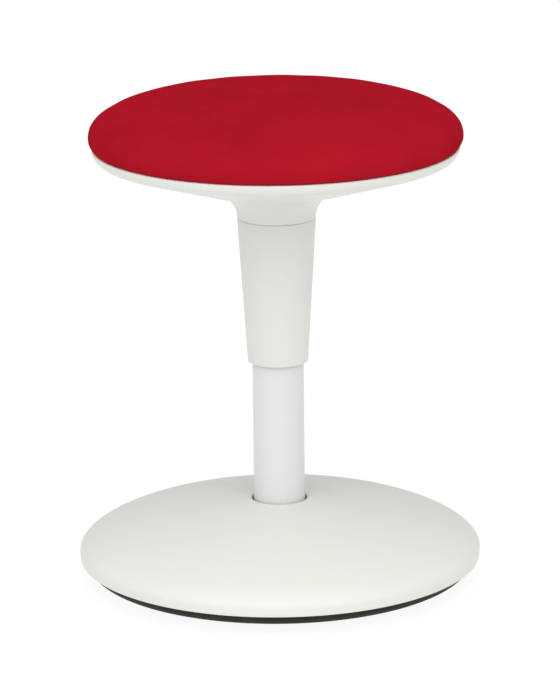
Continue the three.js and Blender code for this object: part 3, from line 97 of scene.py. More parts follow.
class StoolBaseSizes(bpy.types.PropertyGroup):
    """Sizes of the sole, the cover and the stand tube."""

    sole_radius: bpy.props.FloatProperty(
        name="Sole radius", description="Outer edge of the rubber sole",
        default=SOLE_HIGH.x, min=0.05, unit="LENGTH", precision=4,
    )
    sole_thickness: bpy.props.FloatProperty(
        name="Sole thickness", description="Rubber between the floor and the pan",
        default=5 * MM, min=0.001, unit="LENGTH", precision=4,
    )
    sole_flat: bpy.props.FloatProperty(
        name="Sole flat", description="Radius of the flat that the stool stands still on",
        default=50 * MM, min=0.0, unit="LENGTH", precision=4,
    )
    rock_radius: bpy.props.FloatProperty(
        name="Rocking radius", description="Arc of the sole outside its flat",
        default=850 * MM, min=0.2, unit="LENGTH", precision=4,
    )
    sole_edge: bpy.props.FloatProperty(
        name="Sole edge", description="Round at the sole's outer edge",
        default=9 * MM, min=0.001, unit="LENGTH", precision=4,
    )
    sole_lip: bpy.props.FloatProperty(
        name="Sole lip", description="Wall of the lip that grips the pan",
        default=3 * MM, min=0.001, unit="LENGTH", precision=4,
    )
    tread_pitch: bpy.props.FloatProperty(
        name="Tread pitch", description="From one ring groove under the sole to the next",
        default=11 * MM, min=0.004, unit="LENGTH", precision=4,
    )
    tread_width: bpy.props.FloatProperty(
        name="Tread width", description="Width of a ring groove",
        default=2.6 * MM, min=0.001, unit="LENGTH", precision=4,
    )
    tread_depth: bpy.props.FloatProperty(
        name="Tread depth", description="Depth of a ring groove",
        default=1.2 * MM, min=0.0002, unit="LENGTH", precision=4,
    )
    cover_radius: bpy.props.FloatProperty(
        name="Cover radius", description="Widest place of the base's dome",
        default=COVER_HIGH.x, min=0.05, unit="LENGTH", precision=4,
    )
    cover_wall: bpy.props.FloatProperty(
        name="Cover wall", description="Wall of the moulded dome",
        default=2.6 * MM, min=0.001, unit="LENGTH", precision=4,
    )
    cover_tuck: bpy.props.FloatProperty(
        name="Cover tuck", description="How far the rim draws in below the widest place",
        default=0.7 * MM, min=0.0, unit="LENGTH", precision=4,
    )
    cover_rim: bpy.props.FloatProperty(
        name="Cover rim", description="Height of the rim below the widest place",
        default=7.8 * MM, min=0.001, unit="LENGTH", precision=4,
    )
    cover_rise: bpy.props.FloatProperty(
        name="Cover rise", description="From the widest place up to the dome's own apex",
        default=52.7 * MM, min=0.005, unit="LENGTH", precision=4,
    )
    cover_hole: bpy.props.FloatProperty(
        name="Cover hole", description="Radius of the collar round the tube",
        default=27 * MM, min=0.01, unit="LENGTH", precision=4,
    )
    collar_round: bpy.props.FloatProperty(
        name="Collar round", description="Round where the dome turns down",
        default=2 * MM, min=0.0005, unit="LENGTH", precision=4,
    )
    collar_length: bpy.props.FloatProperty(
        name="Collar length", description="Height of the collar",
        default=9 * MM, min=0.002, unit="LENGTH", precision=4,
    )
    cover_boss: bpy.props.FloatProperty(
        name="Cover boss", description="Radius of the screw bosses inside the dome",
        default=5.5 * MM, min=0.003, unit="LENGTH", precision=4,
    )
    cover_screw_circle: bpy.props.FloatProperty(
        name="Cover screw circle", description="Radius of the circle that the cover's screws stand on",
        default=circle_of(COVER_SCREW_LOW, COVER_SCREW_HIGH), min=0.01, unit="LENGTH", precision=4,
    )
    cover_screw_bite: bpy.props.FloatProperty(
        name="Cover screw bite", description="Length of thread in each of the cover's bosses",
        default=12.7 * MM, min=0.002, unit="LENGTH", precision=4,
    )
    tube_radius: bpy.props.FloatProperty(
        name="Tube radius", description="Outside of the stand tube",
        default=TUBE_HIGH.x, min=0.01, unit="LENGTH", precision=4,
    )
    tube_wall: bpy.props.FloatProperty(
        name="Tube wall", description="Wall of the stand tube",
        default=1.6 * MM, min=0.0005, unit="LENGTH", precision=4,
    )
    tube_taper_top: bpy.props.FloatProperty(
        name="Tube taper top", description="Height where the taper in the hub ends",
        default=66.86 * MM, min=0.01, unit="LENGTH", precision=4,
    )
    tube_taper_drop: bpy.props.FloatProperty(
        name="Tube taper drop", description="How much slimmer the tube's foot is",
        default=0.6 * MM, min=0.0, unit="LENGTH", precision=4,
    )
    tube_foot_lip: bpy.props.FloatProperty(
        name="Tube foot lip", description="Width of the rolled-in foot",
        default=6.8 * MM, min=0.001, unit="LENGTH", precision=4,
    )
    tube_round: bpy.props.FloatProperty(
        name="Tube round", description="Round at the tube's top edge",
        default=0.8 * MM, min=0.0001, unit="LENGTH", precision=4,
    )


class StoolSeatSizes(bpy.types.PropertyGroup):
    """Sizes of the sleeve, the shell and the pad."""

    sleeve_mouth: bpy.props.FloatProperty(
        name="Sleeve mouth", description="Outer radius of the sleeve's lower end",
        default=29.4 * MM, min=0.01, unit="LENGTH", precision=4,
    )
    sleeve_wall: bpy.props.FloatProperty(
        name="Sleeve wall", description="Wall of the tapered sleeve",
        default=3 * MM, min=0.001, unit="LENGTH", precision=4,
    )
    sleeve_lip: bpy.props.FloatProperty(
        name="Sleeve lip", description="Round at the sleeve's lower edge",
        default=1.3 * MM, min=0.0002, unit="LENGTH", precision=4,
    )
    spigot_wall: bpy.props.FloatProperty(
        name="Spigot wall", description="Wall of the spigot that holds in the neck",
        default=2.5 * MM, min=0.001, unit="LENGTH", precision=4,
    )
    neck_radius: bpy.props.FloatProperty(
        name="Neck radius", description="Outer radius where shell and sleeve meet",
        default=38.1 * MM, min=0.01, unit="LENGTH", precision=4,
    )
    neck_fillet: bpy.props.FloatProperty(
        name="Neck fillet", description="Round from the neck into the bowl",
        default=25 * MM, min=0.002, unit="LENGTH", precision=4,
    )
    bowl_slope: bpy.props.FloatProperty(
        name="Bowl slope", description="Rise of the bowl's underside",
        default=math.radians(17.2), min=0.0, max=1.2, unit="ROTATION",
    )
    shell_radius: bpy.props.FloatProperty(
        name="Shell radius", description="Outer edge of the bowl",
        default=SHELL_HIGH.x, min=0.05, unit="LENGTH", precision=4,
    )
    shell_wall: bpy.props.FloatProperty(
        name="Shell wall", description="Wall of the moulded bowl",
        default=3 * MM, min=0.001, unit="LENGTH", precision=4,
    )
    rim_round: bpy.props.FloatProperty(
        name="Rim round", description="Round from the bowl's slope up to its rim",
        default=12 * MM, min=0.001, unit="LENGTH", precision=4,
    )
    rim_lip: bpy.props.FloatProperty(
        name="Rim lip", description="Upright stretch of the rim above its round",
        default=0.4 * MM, min=0.0, unit="LENGTH", precision=4,
    )
    shell_boss: bpy.props.FloatProperty(
        name="Shell boss", description="Radius of the screw bosses in the bowl",
        default=7 * MM, min=0.003, unit="LENGTH", precision=4,
    )
    screw_circle: bpy.props.FloatProperty(
        name="Screw circle", description="Radius of the circle that the shell's screws stand on",
        default=circle_of(SHELL_SCREW_LOW, SHELL_SCREW_HIGH), min=0.01, unit="LENGTH", precision=4,
    )
    slot_width: bpy.props.FloatProperty(
        name="Slot width", description="Width of the lever's slot",
        default=12 * MM, min=0.002, unit="LENGTH", precision=4,
    )
    slot_length: bpy.props.FloatProperty(
        name="Slot length", description="Length of the lever's slot",
        default=39 * MM, min=0.005, unit="LENGTH", precision=4,
    )
    slot_reach: bpy.props.FloatProperty(
        name="Slot reach", description="From the column's axis to the slot's middle",
        default=80.54 * MM, min=0.01, unit="LENGTH", precision=4,
    )
    pad_overhang: bpy.props.FloatProperty(
        name="Pad overhang", description="How far the pad stands out past the rim",
        default=5.8 * MM, min=0.0, unit="LENGTH", precision=4,
    )
    pad_draw_in: bpy.props.FloatProperty(
        name="Pad draw-in", description="How far the pad's side pulls in towards the rim",
        default=6.7 * MM, min=0.0, unit="LENGTH", precision=4,
    )
    pad_side: bpy.props.FloatProperty(
        name="Pad side", description="Height of the side below the widest place",
        default=10.4 * MM, min=0.001, unit="LENGTH", precision=4,
    )
    pad_crown: bpy.props.FloatProperty(
        name="Pad crown", description="Height of the crown above the widest place",
        default=40 * MM, min=0.001, unit="LENGTH", precision=4,
    )
    pad_slack: bpy.props.FloatProperty(
        name="Pad slack", description="How much lower the crown is before the foam swells it",
        default=5 * MM, min=0.0, unit="LENGTH", precision=4,
    )
    fabric_wall: bpy.props.FloatProperty(
        name="Fabric wall", description="Thickness of the knitted cover",
        default=1.3 * MM, min=0.0002, unit="LENGTH", precision=4,
    )
    hem: bpy.props.FloatProperty(
        name="Hem", description="Width of the cloth that is stapled under the board",
        default=15 * MM, min=0.002, unit="LENGTH", precision=4,
    )
    pucker: bpy.props.FloatProperty(
        name="Pucker", description="Height of the small gathers above the rim",
        default=0.22 * MM, min=0.0, unit="LENGTH", precision=5,
    )


class StoolLeverSizes(bpy.types.PropertyGroup):
    """Sizes of the release lever and its grip."""

    bar_radius: bpy.props.FloatProperty(
        name="Bar radius", description="Half the thickness of the bent bar",
        default=3.5 * MM, min=0.001, unit="LENGTH", precision=4,
    )
    foot: bpy.props.FloatProperty(
        name="Foot", description="How far the inner end runs past the column's axis",
        default=8 * MM, min=0.0, unit="LENGTH", precision=4,
    )
    bend: bpy.props.FloatProperty(
        name="Bend", description="Length of a bend on each side of its corner",
        default=11 * MM, min=0.001, unit="LENGTH", precision=4,
    )
    knee_reach: bpy.props.FloatProperty(
        name="Knee reach", description="From the pivot to where the bar turns down",
        default=14 * MM, min=0.001, unit="LENGTH", precision=4,
    )
    drop_reach: bpy.props.FloatProperty(
        name="Drop reach", description="From the pivot to where the bar is through the shell",
        default=54 * MM, min=0.01, unit="LENGTH", precision=4,
    )
    drop_clearance: bpy.props.FloatProperty(
        name="Drop clearance", description="From the shell down to the bar's middle there",
        default=10.2 * MM, min=0.001, unit="LENGTH", precision=4,
    )
    end_reach: bpy.props.FloatProperty(
        name="End reach", description="From the pivot to the bar's outer end",
        default=106 * MM, min=0.02, unit="LENGTH", precision=4,
    )
    end_clearance: bpy.props.FloatProperty(
        name="End clearance", description="From the shell down to the bar's middle at its end",
        default=21.3 * MM, min=0.001, unit="LENGTH", precision=4,
    )
    boss_radius: bpy.props.FloatProperty(
        name="Boss radius", description="Radius of the boss on the pivot",
        default=6 * MM, min=0.002, unit="LENGTH", precision=4,
    )
    boss_width: bpy.props.FloatProperty(
        name="Boss width", description="Width of the boss on the pivot",
        default=14 * MM, min=0.002, unit="LENGTH", precision=4,
    )
    pin_radius: bpy.props.FloatProperty(
        name="Pin radius", description="Radius of the pivot pin",
        default=2.5 * MM, min=0.0005, unit="LENGTH", precision=4,
    )
    grip_length: bpy.props.FloatProperty(
        name="Grip length", description="Length of the moulded paddle",
        default=46 * MM, min=0.01, unit="LENGTH", precision=4,
    )
    grip_width: bpy.props.FloatProperty(
        name="Grip width", description="Width of the paddle",
        default=34 * MM, min=0.01, unit="LENGTH", precision=4,
    )
    grip_thickness: bpy.props.FloatProperty(
        name="Grip thickness", description="Thickness of the paddle",
        default=9 * MM, min=0.002, unit="LENGTH", precision=4,
    )
    grip_corner: bpy.props.FloatProperty(
        name="Grip corner", description="Round of the paddle's corners seen from above",
        default=10 * MM, min=0.001, unit="LENGTH", precision=4,
    )
    grip_round: bpy.props.FloatProperty(
        name="Grip round", description="Round of the paddle's edges",
        default=2 * MM, min=0.0005, unit="LENGTH", precision=4,
    )
    grip_overlap: bpy.props.FloatProperty(
        name="Grip overlap", description="Length of bar that the grip holds",
        default=22 * MM, min=0.002, unit="LENGTH", precision=4,
    )
    rib_pitch: bpy.props.FloatProperty(
        name="Rib pitch", description="From one finger groove on the grip to the next",
        default=4 * MM, min=0.001, unit="LENGTH", precision=4,
    )


class StoolColours(bpy.types.PropertyGroup):
    """Colours of the finishes."""

    white_plastic: bpy.props.FloatVectorProperty(
        name="White plastic", description="Sleeve, shell and base cover",
        subtype="COLOR", size=4, min=0.0, max=1.0, default=linear("#DFE0DB"),
    )
    powder_coat: bpy.props.FloatVectorProperty(
        name="Powder coat", description="Stand tube",
        subtype="COLOR", size=4, min=0.0, max=1.0, default=linear("#DEDEDE"),
    )
    knit: bpy.props.FloatVectorProperty(
        name="Knit", description="Top of the cover's yarns",
        subtype="COLOR", size=4, min=0.0, max=1.0, default=linear("#AD1827"),
    )
    # Painted shade: the darker red that the knit's valleys take between its yarns, where shadow lies
    knit_valley: bpy.props.FloatVectorProperty(
        name="Knit valley shade", description="Between the cover's yarns",
        subtype="COLOR", size=4, min=0.0, max=1.0, default=linear("#83101C"),
    )
    rubber: bpy.props.FloatVectorProperty(
        name="Rubber", description="Sole",
        subtype="COLOR", size=4, min=0.0, max=1.0, default=linear("#23211D"),
    )
    black_plastic: bpy.props.FloatVectorProperty(
        name="Black plastic", description="Pan, bush and grip",
        subtype="COLOR", size=4, min=0.0, max=1.0, default=linear("#1E1E1F"),
    )


class StoolStage(bpy.types.PropertyGroup):
    """Camera, lights and floor."""

    lens: bpy.props.FloatProperty(
        name="Lens", description="Focal length in millimetres on a 36 mm frame",
        default=205.71, min=10.0,
    )
    distance: bpy.props.FloatProperty(
        name="Distance", description="From the camera to the point that it looks at",
        default=3.889, min=0.5, unit="LENGTH",
    )
    elevation: bpy.props.FloatProperty(
        name="Elevation", description="Angle of the camera above the horizon",
        default=math.radians(15.3), unit="ROTATION",
    )
    roll: bpy.props.FloatProperty(
        name="Roll", description="Turn of the camera about its own axis",
        default=math.radians(-0.614), unit="ROTATION",
    )
    target: bpy.props.FloatVectorProperty(
        name="Target", description="Point that the camera looks at",
        default=(0.002, 0.0, 0.2282), subtype="XYZ", unit="LENGTH",
    )
    ambient: bpy.props.FloatProperty(
        name="Ambient", description="Strength of the even light from all sides",
        default=0.61, min=0.0,
    )
    key: bpy.props.FloatProperty(
        name="Key", description="Strength of the wide light in front, in watts per square metre",
        default=1.75, min=0.0,
    )
    key_spread: bpy.props.FloatProperty(
        name="Key spread", description="Angle that the wide light fills, seen from the stool",
        default=math.radians(72), min=0.0, max=math.pi, unit="ROTATION",
    )
    floor_glow: bpy.props.FloatProperty(
        name="Floor glow", description="Strength of the light from below through the floor",
        default=0.92, min=0.0,
    )
    floor_size: bpy.props.FloatProperty(
        name="Floor size", description="Side of the square floor",
        default=40.0, min=1.0, unit="LENGTH",
    )


# Selecting and naming

def pick_only(*pieces):
    """Leaves just these pieces selected, the last one active, in object mode."""
    if bpy.context.object and bpy.context.object.mode != "OBJECT":
        bpy.ops.object.mode_set(mode="OBJECT")
    bpy.ops.object.select_all(action="DESELECT")
    for piece in pieces:
        piece.select_set(True)
        bpy.context.view_layer.objects.active = piece


def fresh(name):
    """The object that the last operator added, under its own name."""
    piece = bpy.context.object
    piece.name = name
    piece.data.name = name
    return piece


def select_edges(piece, wanted):
    """Leaves the piece in edit mode with the edges selected whose two ends pass the test."""
    pick_only(piece)
    bpy.ops.object.mode_set(mode="EDIT")
    bpy.ops.mesh.select_mode(type="EDGE")
    bpy.ops.mesh.select_all(action="DESELECT")
    bpy.ops.object.mode_set(mode="OBJECT")
    points = piece.data.vertices
    for edge in piece.data.edges:
        edge.select = wanted(*[points[i].co for i in edge.vertices])
    bpy.ops.object.mode_set(mode="EDIT")


def select_faces(piece, wanted):
    """Leaves the piece in edit mode with the faces selected that pass the test."""
    pick_only(piece)
    bpy.ops.object.mode_set(mode="EDIT")
    bpy.ops.mesh.select_mode(type="FACE")
    bpy.ops.mesh.select_all(action="DESELECT")
    bpy.ops.object.mode_set(mode="OBJECT")
    for face in piece.data.polygons:
        face.select = wanted(face)
    bpy.ops.object.mode_set(mode="EDIT")


# Modelling

def turned(name, outline, steps=TURN_STEPS):
    """A piece turned about the Z axis: a point is extruded along the outline, then spun."""
    pick_only()
    bpy.ops.mesh.primitive_plane_add(size=SEED_SIZE)
    piece = fresh(name)
    bpy.ops.object.mode_set(mode="EDIT")
    bpy.ops.mesh.select_mode(type="VERT")
    bpy.ops.mesh.select_all(action="SELECT")
    bpy.ops.mesh.merge(type="CENTER")
    bpy.ops.transform.translate(value=(outline[0][0], 0, outline[0][1]))
    for here, there in zip(outline, outline[1:]):
        step = (there[0] - here[0], 0, there[1] - here[1])
        bpy.ops.mesh.extrude_vertices_move(TRANSFORM_OT_translate={"value": step})
    bpy.ops.mesh.select_all(action="SELECT")
    bpy.ops.mesh.spin(steps=steps, angle=math.tau, center=(0, 0, 0), axis=(0, 0, 1))
    bpy.ops.mesh.select_all(action="SELECT")
    bpy.ops.mesh.remove_doubles(threshold=WELD)
    bpy.ops.mesh.normals_make_consistent(inside=False)
    bpy.ops.object.mode_set(mode="OBJECT")
    return piece


def shaped(piece, kind, **settings):
    """Adds a modifier with its settings and applies it."""
    pick_only(piece)
    bpy.ops.object.modifier_add(type=kind)
    modifier = piece.modifiers[-1]
    for key, value in settings.items():
        setattr(modifier, key, value)
    bpy.ops.object.modifier_apply(modifier=modifier.name)
    if not piece.data.polygons:
        raise RuntimeError(f"{piece.name} lost its faces to {kind}")
    return piece


def softened(piece, width, segments=2):
    """Rounds every edge that is sharper than a smooth surface's."""
    return shaped(
        piece, "BEVEL", width=width, segments=segments,
        limit_method="ANGLE", angle_limit=math.radians(40), use_clamp_overlap=True,
    )


def combined(piece, tool, operation):
    """Joins or cuts a piece with a tool, which is used up."""
    shaped(piece, "BOOLEAN", object=tool, operation=operation, solver="EXACT")
    bpy.data.objects.remove(tool)
    return piece


def placed(piece, place, turn=(0, 0, 0)):
    """Turns and moves a piece, and keeps its object at the origin."""
    pick_only(piece)
    piece.rotation_euler = turn
    piece.location = place
    bpy.ops.object.transform_apply(location=True, rotation=True, scale=True)
    return piece


def round_bar(name, radius, low, high, x, y=0.0, steps=SCREW_STEPS):
    """An upright round bar."""
    pick_only()
    bpy.ops.mesh.primitive_cylinder_add(
        vertices=steps, radius=radius, depth=high - low, location=(x, y, (low + high) / 2),
    )
    return placed(fresh(name), bpy.context.object.location.copy())


def four_round(piece):
    """The piece at 45 degrees about the Z axis and three more copies of it, as one mesh."""
    parts = [piece]
    for _ in range(3):
        pick_only(piece)
        bpy.ops.object.duplicate()
        parts.append(bpy.context.object)
    for i, part in enumerate(parts):
        placed(part, (0, 0, 0), (0, 0, QUARTER * (i + 0.5)))
    pick_only(*parts)
    bpy.ops.object.join()
    return bpy.context.object


def wall_boss(name, radius, low, high, reach, wall_point, wall_normal):
    """Four screw bosses, each cut along the wall that it stands on."""
    boss = round_bar(name, radius, low, high, reach)
    bpy.ops.object.mode_set(mode="EDIT")
    bpy.ops.mesh.select_all(action="SELECT")
    bpy.ops.mesh.bisect(plane_co=wall_point, plane_no=wall_normal, clear_outer=True, use_fill=True)
    bpy.ops.object.mode_set(mode="OBJECT")
    return four_round(boss)


def settled(piece, body, slot, *nodes):
    """Smooths a finished piece, gives it its material, hangs it on its body, and hides the CAD parts that
    it stands for.
    """
    pick_only(piece)
    bpy.ops.object.shade_smooth_by_angle(angle=SMOOTH_ANGLE)
    piece.data.materials.clear()
    piece.data.materials.append(finish(slot))
    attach(piece, body)
    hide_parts(*nodes)
    return piece


# Outlines, as points of radius and height

def arc(r, z, radius, start, end, steps):
    """A round stretch about (r, z)."""
    angles = [start + (end - start) * i / steps for i in range(steps + 1)]
    return [(r + radius * math.cos(a), z + radius * math.sin(a)) for a in angles]


def superellipse(z, width, rise, out_power, up_power, end_radius, steps):
    """A quarter of a superellipse, from its widest place towards its apex."""
    last = math.acos((end_radius / width) ** (out_power / 2))
    points = []
    for i in range(steps + 1):
        angle = last * i / steps
        out = max(math.cos(angle), 0.0) ** (2 / out_power)
        points.append((width * out, z + rise * math.sin(angle) ** (2 / up_power)))
    return points


def inside(line, depth):
    """The same line moved to the left of its direction."""
    moved = []
    for i, here in enumerate(line):
        before = line[max(i - 1, 0)]
        after = line[min(i + 1, len(line) - 1)]
        along = Vector((after[0] - before[0], after[1] - before[1])).normalized()
        moved.append((here[0] - along.y * depth, here[1] + along.x * depth))
    return moved


def rock_height(size, r):
    """Height of the sole's underside at a radius."""
    out = max(r - size.sole_flat, 0.0)
    return size.rock_radius - math.sqrt(size.rock_radius**2 - out**2)


def sole_outline(size):
    """Sole from the middle of its underside, round its edge and lip, back along its dish."""
    tread_start = 26 * MM
    tread_rings = 13
    draft = 0.5 * MM
    dish_steps = 18
    half = size.tread_width / 2
    line = [(0.0, 0.0)]
    for i in range(tread_rings):
        middle = tread_start + i * size.tread_pitch
        for side, depth in (
            (-half, 0.0), (draft - half, size.tread_depth),
            (half - draft, size.tread_depth), (half, 0.0),
        ):
            line.append((middle + side, rock_height(size, middle + side) + depth))
    edge_r = size.sole_radius - size.sole_edge
    reach = size.rock_radius - size.sole_edge
    tilt = math.asin((edge_r - size.sole_flat) / reach)
    edge_z = size.rock_radius - reach * math.cos(tilt)
    line += arc(edge_r, edge_z, size.sole_edge, tilt - QUARTER, 0.0, 10)
    inner = size.sole_radius - size.sole_lip
    line += [(size.sole_radius, SOLE_HIGH.z), (inner, SOLE_HIGH.z)]
    for i in range(dish_steps + 1):
        r = inner * (1 - i / dish_steps)
        line.append((r, rock_height(size, r) + size.sole_thickness))
    return line


def dome_line(size, steps):
    """The cover's outer line from its widest place up to its collar."""
    widest_z = COVER_LOW.z + size.cover_rim
    end = size.cover_hole + size.collar_round
    return superellipse(
        widest_z, size.cover_radius, size.cover_rise, DOME_OUT_POWER, DOME_UP_POWER, end, steps,
    )


def dome_height(size, r):
    """Height of the cover's outer side at a radius."""
    out_share = (r / size.cover_radius) ** DOME_OUT_POWER
    rise = size.cover_rise * (1 - out_share) ** (1 / DOME_UP_POWER)
    return COVER_LOW.z + size.cover_rim + rise


def cover_outline(size):
    """Cover from the rim's lower edge over the dome to the collar, and back inside."""
    rim_steps = 5
    dome = dome_line(size, 56)
    top = dome[-1][1]
    low = COVER_LOW.z
    rim = []
    for i in range(rim_steps):
        drop = 1 - i / rim_steps
        rim.append((size.cover_radius - size.cover_tuck * drop**2, low + size.cover_rim * (1 - drop)))
    collar = arc(
        size.cover_hole + size.collar_round, top - size.collar_round, size.collar_round,
        QUARTER, math.pi, 6,
    )[1:]
    inner_hole = size.cover_hole + size.cover_wall
    inner = [p for p in inside(dome, size.cover_wall) if p[0] > inner_hole + size.collar_round]
    line = rim + dome + collar
    line += [(size.cover_hole, top - size.collar_length), (inner_hole, top - size.collar_length)]
    line += [(inner_hole, inner[-1][1])]
    line += inner[::-1]
    line += [(size.cover_radius - size.cover_tuck - size.cover_wall, low), rim[0]]
    return line


def tube_outline(size):
    """Stand tube from its rolled-in foot up, and back down its bore."""
    low, top = TUBE_LOW.z, TUBE_HIGH.z
    foot = size.tube_radius - size.tube_taper_drop
    lip = foot - size.tube_foot_lip
    lip_top = low + 2 * MM
    bore = size.tube_radius - size.tube_wall
    edge = size.tube_radius - size.tube_round
    return [
        (lip, low), (foot, low), (size.tube_radius, size.tube_taper_top),
        *arc(edge, top - size.tube_round, size.tube_round, 0.0, QUARTER, 5),
        (bore, top), (bore, size.tube_taper_top), (foot - size.tube_wall, lip_top),
        (lip, lip_top), (lip, low),
    ]


def sleeve_outline(size):
    """Sleeve from its mouth up the cone to the spigot, and back down inside."""
    low, spigot_top = SLEEVE_LOW.z, SLEEVE_HIGH.z
    shoulder = SHELL_LOW.z - GAP
    lip = size.sleeve_lip
    mouth = size.sleeve_mouth
    spigot_outer = size.neck_radius - size.shell_wall - GAP
    spigot_inner = spigot_outer - size.spigot_wall
    root = SHELL_LOW.z - 6 * MM
    taper_share = (root - size.spigot_wall - low) / (SHELL_LOW.z - low)
    root_inner = mouth + (size.neck_radius - mouth) * taper_share - size.sleeve_wall
    edge = 0.25 * MM  # rounds the upper edge, so that the joint reads as a fine line
    line = arc(mouth - size.sleeve_wall + lip, low + lip, lip, math.pi, 3 * QUARTER, 5)
    line += arc(mouth - lip, low + lip, lip, 3 * QUARTER, 4 * QUARTER, 6)
    line += arc(size.neck_radius - edge, shoulder - edge, edge, 0.0, QUARTER, 4)
    line += [
        (spigot_outer, shoulder), (spigot_outer, spigot_top), (spigot_inner, spigot_top),
        (spigot_inner, root), (root_inner, root - size.spigot_wall), line[0],
    ]
    return line


def rim_centre(size):
    """Middle of the round at the shell's rim."""
    return size.shell_radius - size.rim_round, SHELL_HIGH.z - size.rim_lip


def bowl_line(size, depth):
    """The bowl's line from neck to rim, with this much of the wall taken off."""
    fillet_r = size.neck_radius + size.neck_fillet
    neck = arc(
        fillet_r, SHELL_LOW.z, size.neck_fillet + depth, math.pi, QUARTER + size.bowl_slope, 14,
    )
    rim = arc(*rim_centre(size), size.rim_round - depth, size.bowl_slope - QUARTER, 0.0, 10)
    return neck + rim


def bowl_height(size, r):
    """Height of the bowl's sloping underside at a radius."""
    start_r = size.neck_radius + size.neck_fillet * (1 - math.sin(size.bowl_slope))
    start_z = SHELL_LOW.z + size.neck_fillet * math.cos(size.bowl_slope)
    return start_z + (r - start_r) * math.tan(size.bowl_slope)


def shell_outline(size):
    """Bowl from its neck along the outside to the rim, and back inside."""
    edge = 0.25 * MM
    rim_edge = 1.5 * MM
    outer = bowl_line(size, 0.0)
    inner = bowl_line(size, size.shell_wall)
    neck = arc(outer[0][0] - edge, SHELL_LOW.z + edge, edge, -QUARTER, 0.0, 4)
    neck = [p for p in neck if p[1] <= outer[1][1]]
    top = SHELL_HIGH.z
    rim = arc(size.shell_radius - rim_edge, top - rim_edge, rim_edge, 0.0, QUARTER, 5)
    rim += [(size.shell_radius - size.shell_wall, top)]
    outer = [p for p in outer[1:] if p[1] < top - rim_edge]
    line = neck + outer + rim + inner[::-1]
    return line + [neck[0]]


def cloth_line(size, slack):
    """The cover's outer line from the crown's middle to its hem, and how many points are free."""
    out_power, up_power = 2.5, 2.3
    crown_steps, side_steps = 120, 24
    widest = size.shell_radius + size.pad_overhang
    foot = widest - size.pad_draw_in
    foot_z = SHELL_HIGH.z + GAP
    widest_z = foot_z + size.pad_side
    crown = superellipse(
        widest_z, widest, size.pad_crown, out_power, up_power, 0.0, crown_steps,
    )[::-1]
    crown[0] = (0.0, crown[0][1])
    # A slack cover lies low in its middle and is full at its side
    crown = [(r, z - slack * (1 - (r / widest) ** 2)) for r, z in crown]
    side = []
    for i in range(1, side_steps + 1):
        angle = QUARTER * i / side_steps
        side.append(
            (foot + (widest - foot) * math.cos(angle), widest_z - size.pad_side * math.sin(angle))
        )
    r, z = rim_centre(size)
    turn = size.rim_round - size.shell_wall - GAP
    under = arc(r, z, turn, 0.0, -QUARTER, 12)
    held = [(r + turn, foot_z)] + under + [(r - size.hem, z - turn)]
    return crown + side + held, len(crown + side)


# Finishes

def add(tree, kind, settings=None, inputs=None):
    """Adds one shader node with its settings, and sets or links its inputs."""
    node = tree.nodes.new(kind)
    for key, value in (settings or {}).items():
        setattr(node, key, value)
    for key, value in (inputs or {}).items():
        if isinstance(value, bpy.types.NodeSocket):
            tree.links.new(value, node.inputs[key])
        else:
            node.inputs[key].default_value = value
    return node


def new_finish(name, **surface):
    """A material with an empty surface shader, its node tree and that shader."""
    material = bpy.data.materials.new(name)
    material.use_nodes = True
    tree = material.node_tree
    tree.nodes.clear()
    shader = add(tree, "ShaderNodeBsdfPrincipled", None, surface)
    add(tree, "ShaderNodeOutputMaterial", None, {"Surface": shader.outputs["BSDF"]})
    return material, tree, shader


def per_metre(period):
    """How often a pattern of this period repeats in a metre."""
    return 1 / period


def injection_moulded_polypropylene(colours):
    """White polypropylene from a spark-eroded mould: satin, with a fine even grain."""
    # The grain is about 0.3 mm on a real moulding, and drawn at 1.1 mm so that it shows
    material, tree, shader = new_finish(
        "injection_moulded_polypropylene", IOR=1.49, Roughness=0.42,
    )
    place = add(tree, "ShaderNodeTexCoord").outputs["Object"]
    grain = add(
        tree, "ShaderNodeTexNoise", None,
        {"Vector": place, "Scale": per_metre(1.1 * MM), "Detail": 3.0, "Roughness": 0.6},
    )
    bump = add(
        tree, "ShaderNodeBump", None,
        {"Strength": 0.25, "Distance": 0.04 * MM, "Height": grain.outputs["Fac"]},
    )
    # Slow drifts of the melt leave the white a little warmer in places
    flow = add(
        tree, "ShaderNodeTexNoise", None,
        {"Vector": place, "Scale": per_metre(90 * MM), "Detail": 2.0},
    )
    warm = [share * factor for share, factor in zip(colours.white_plastic, (0.985, 0.98, 0.955, 1.0))]
    tone = add(
        tree, "ShaderNodeMix", {"data_type": "RGBA"},
        {"Factor": flow.outputs["Fac"], "A": tuple(colours.white_plastic), "B": warm},
    )
    gloss = add(
        tree, "ShaderNodeMapRange", None,
        {"Value": flow.outputs["Fac"], "To Min": 0.38, "To Max": 0.48},
    )
    tree.links.new(tone.outputs["Result"], shader.inputs["Base Color"])
    tree.links.new(gloss.outputs["Result"], shader.inputs["Roughness"])
    tree.links.new(bump.outputs["Normal"], shader.inputs["Normal"])
    return material


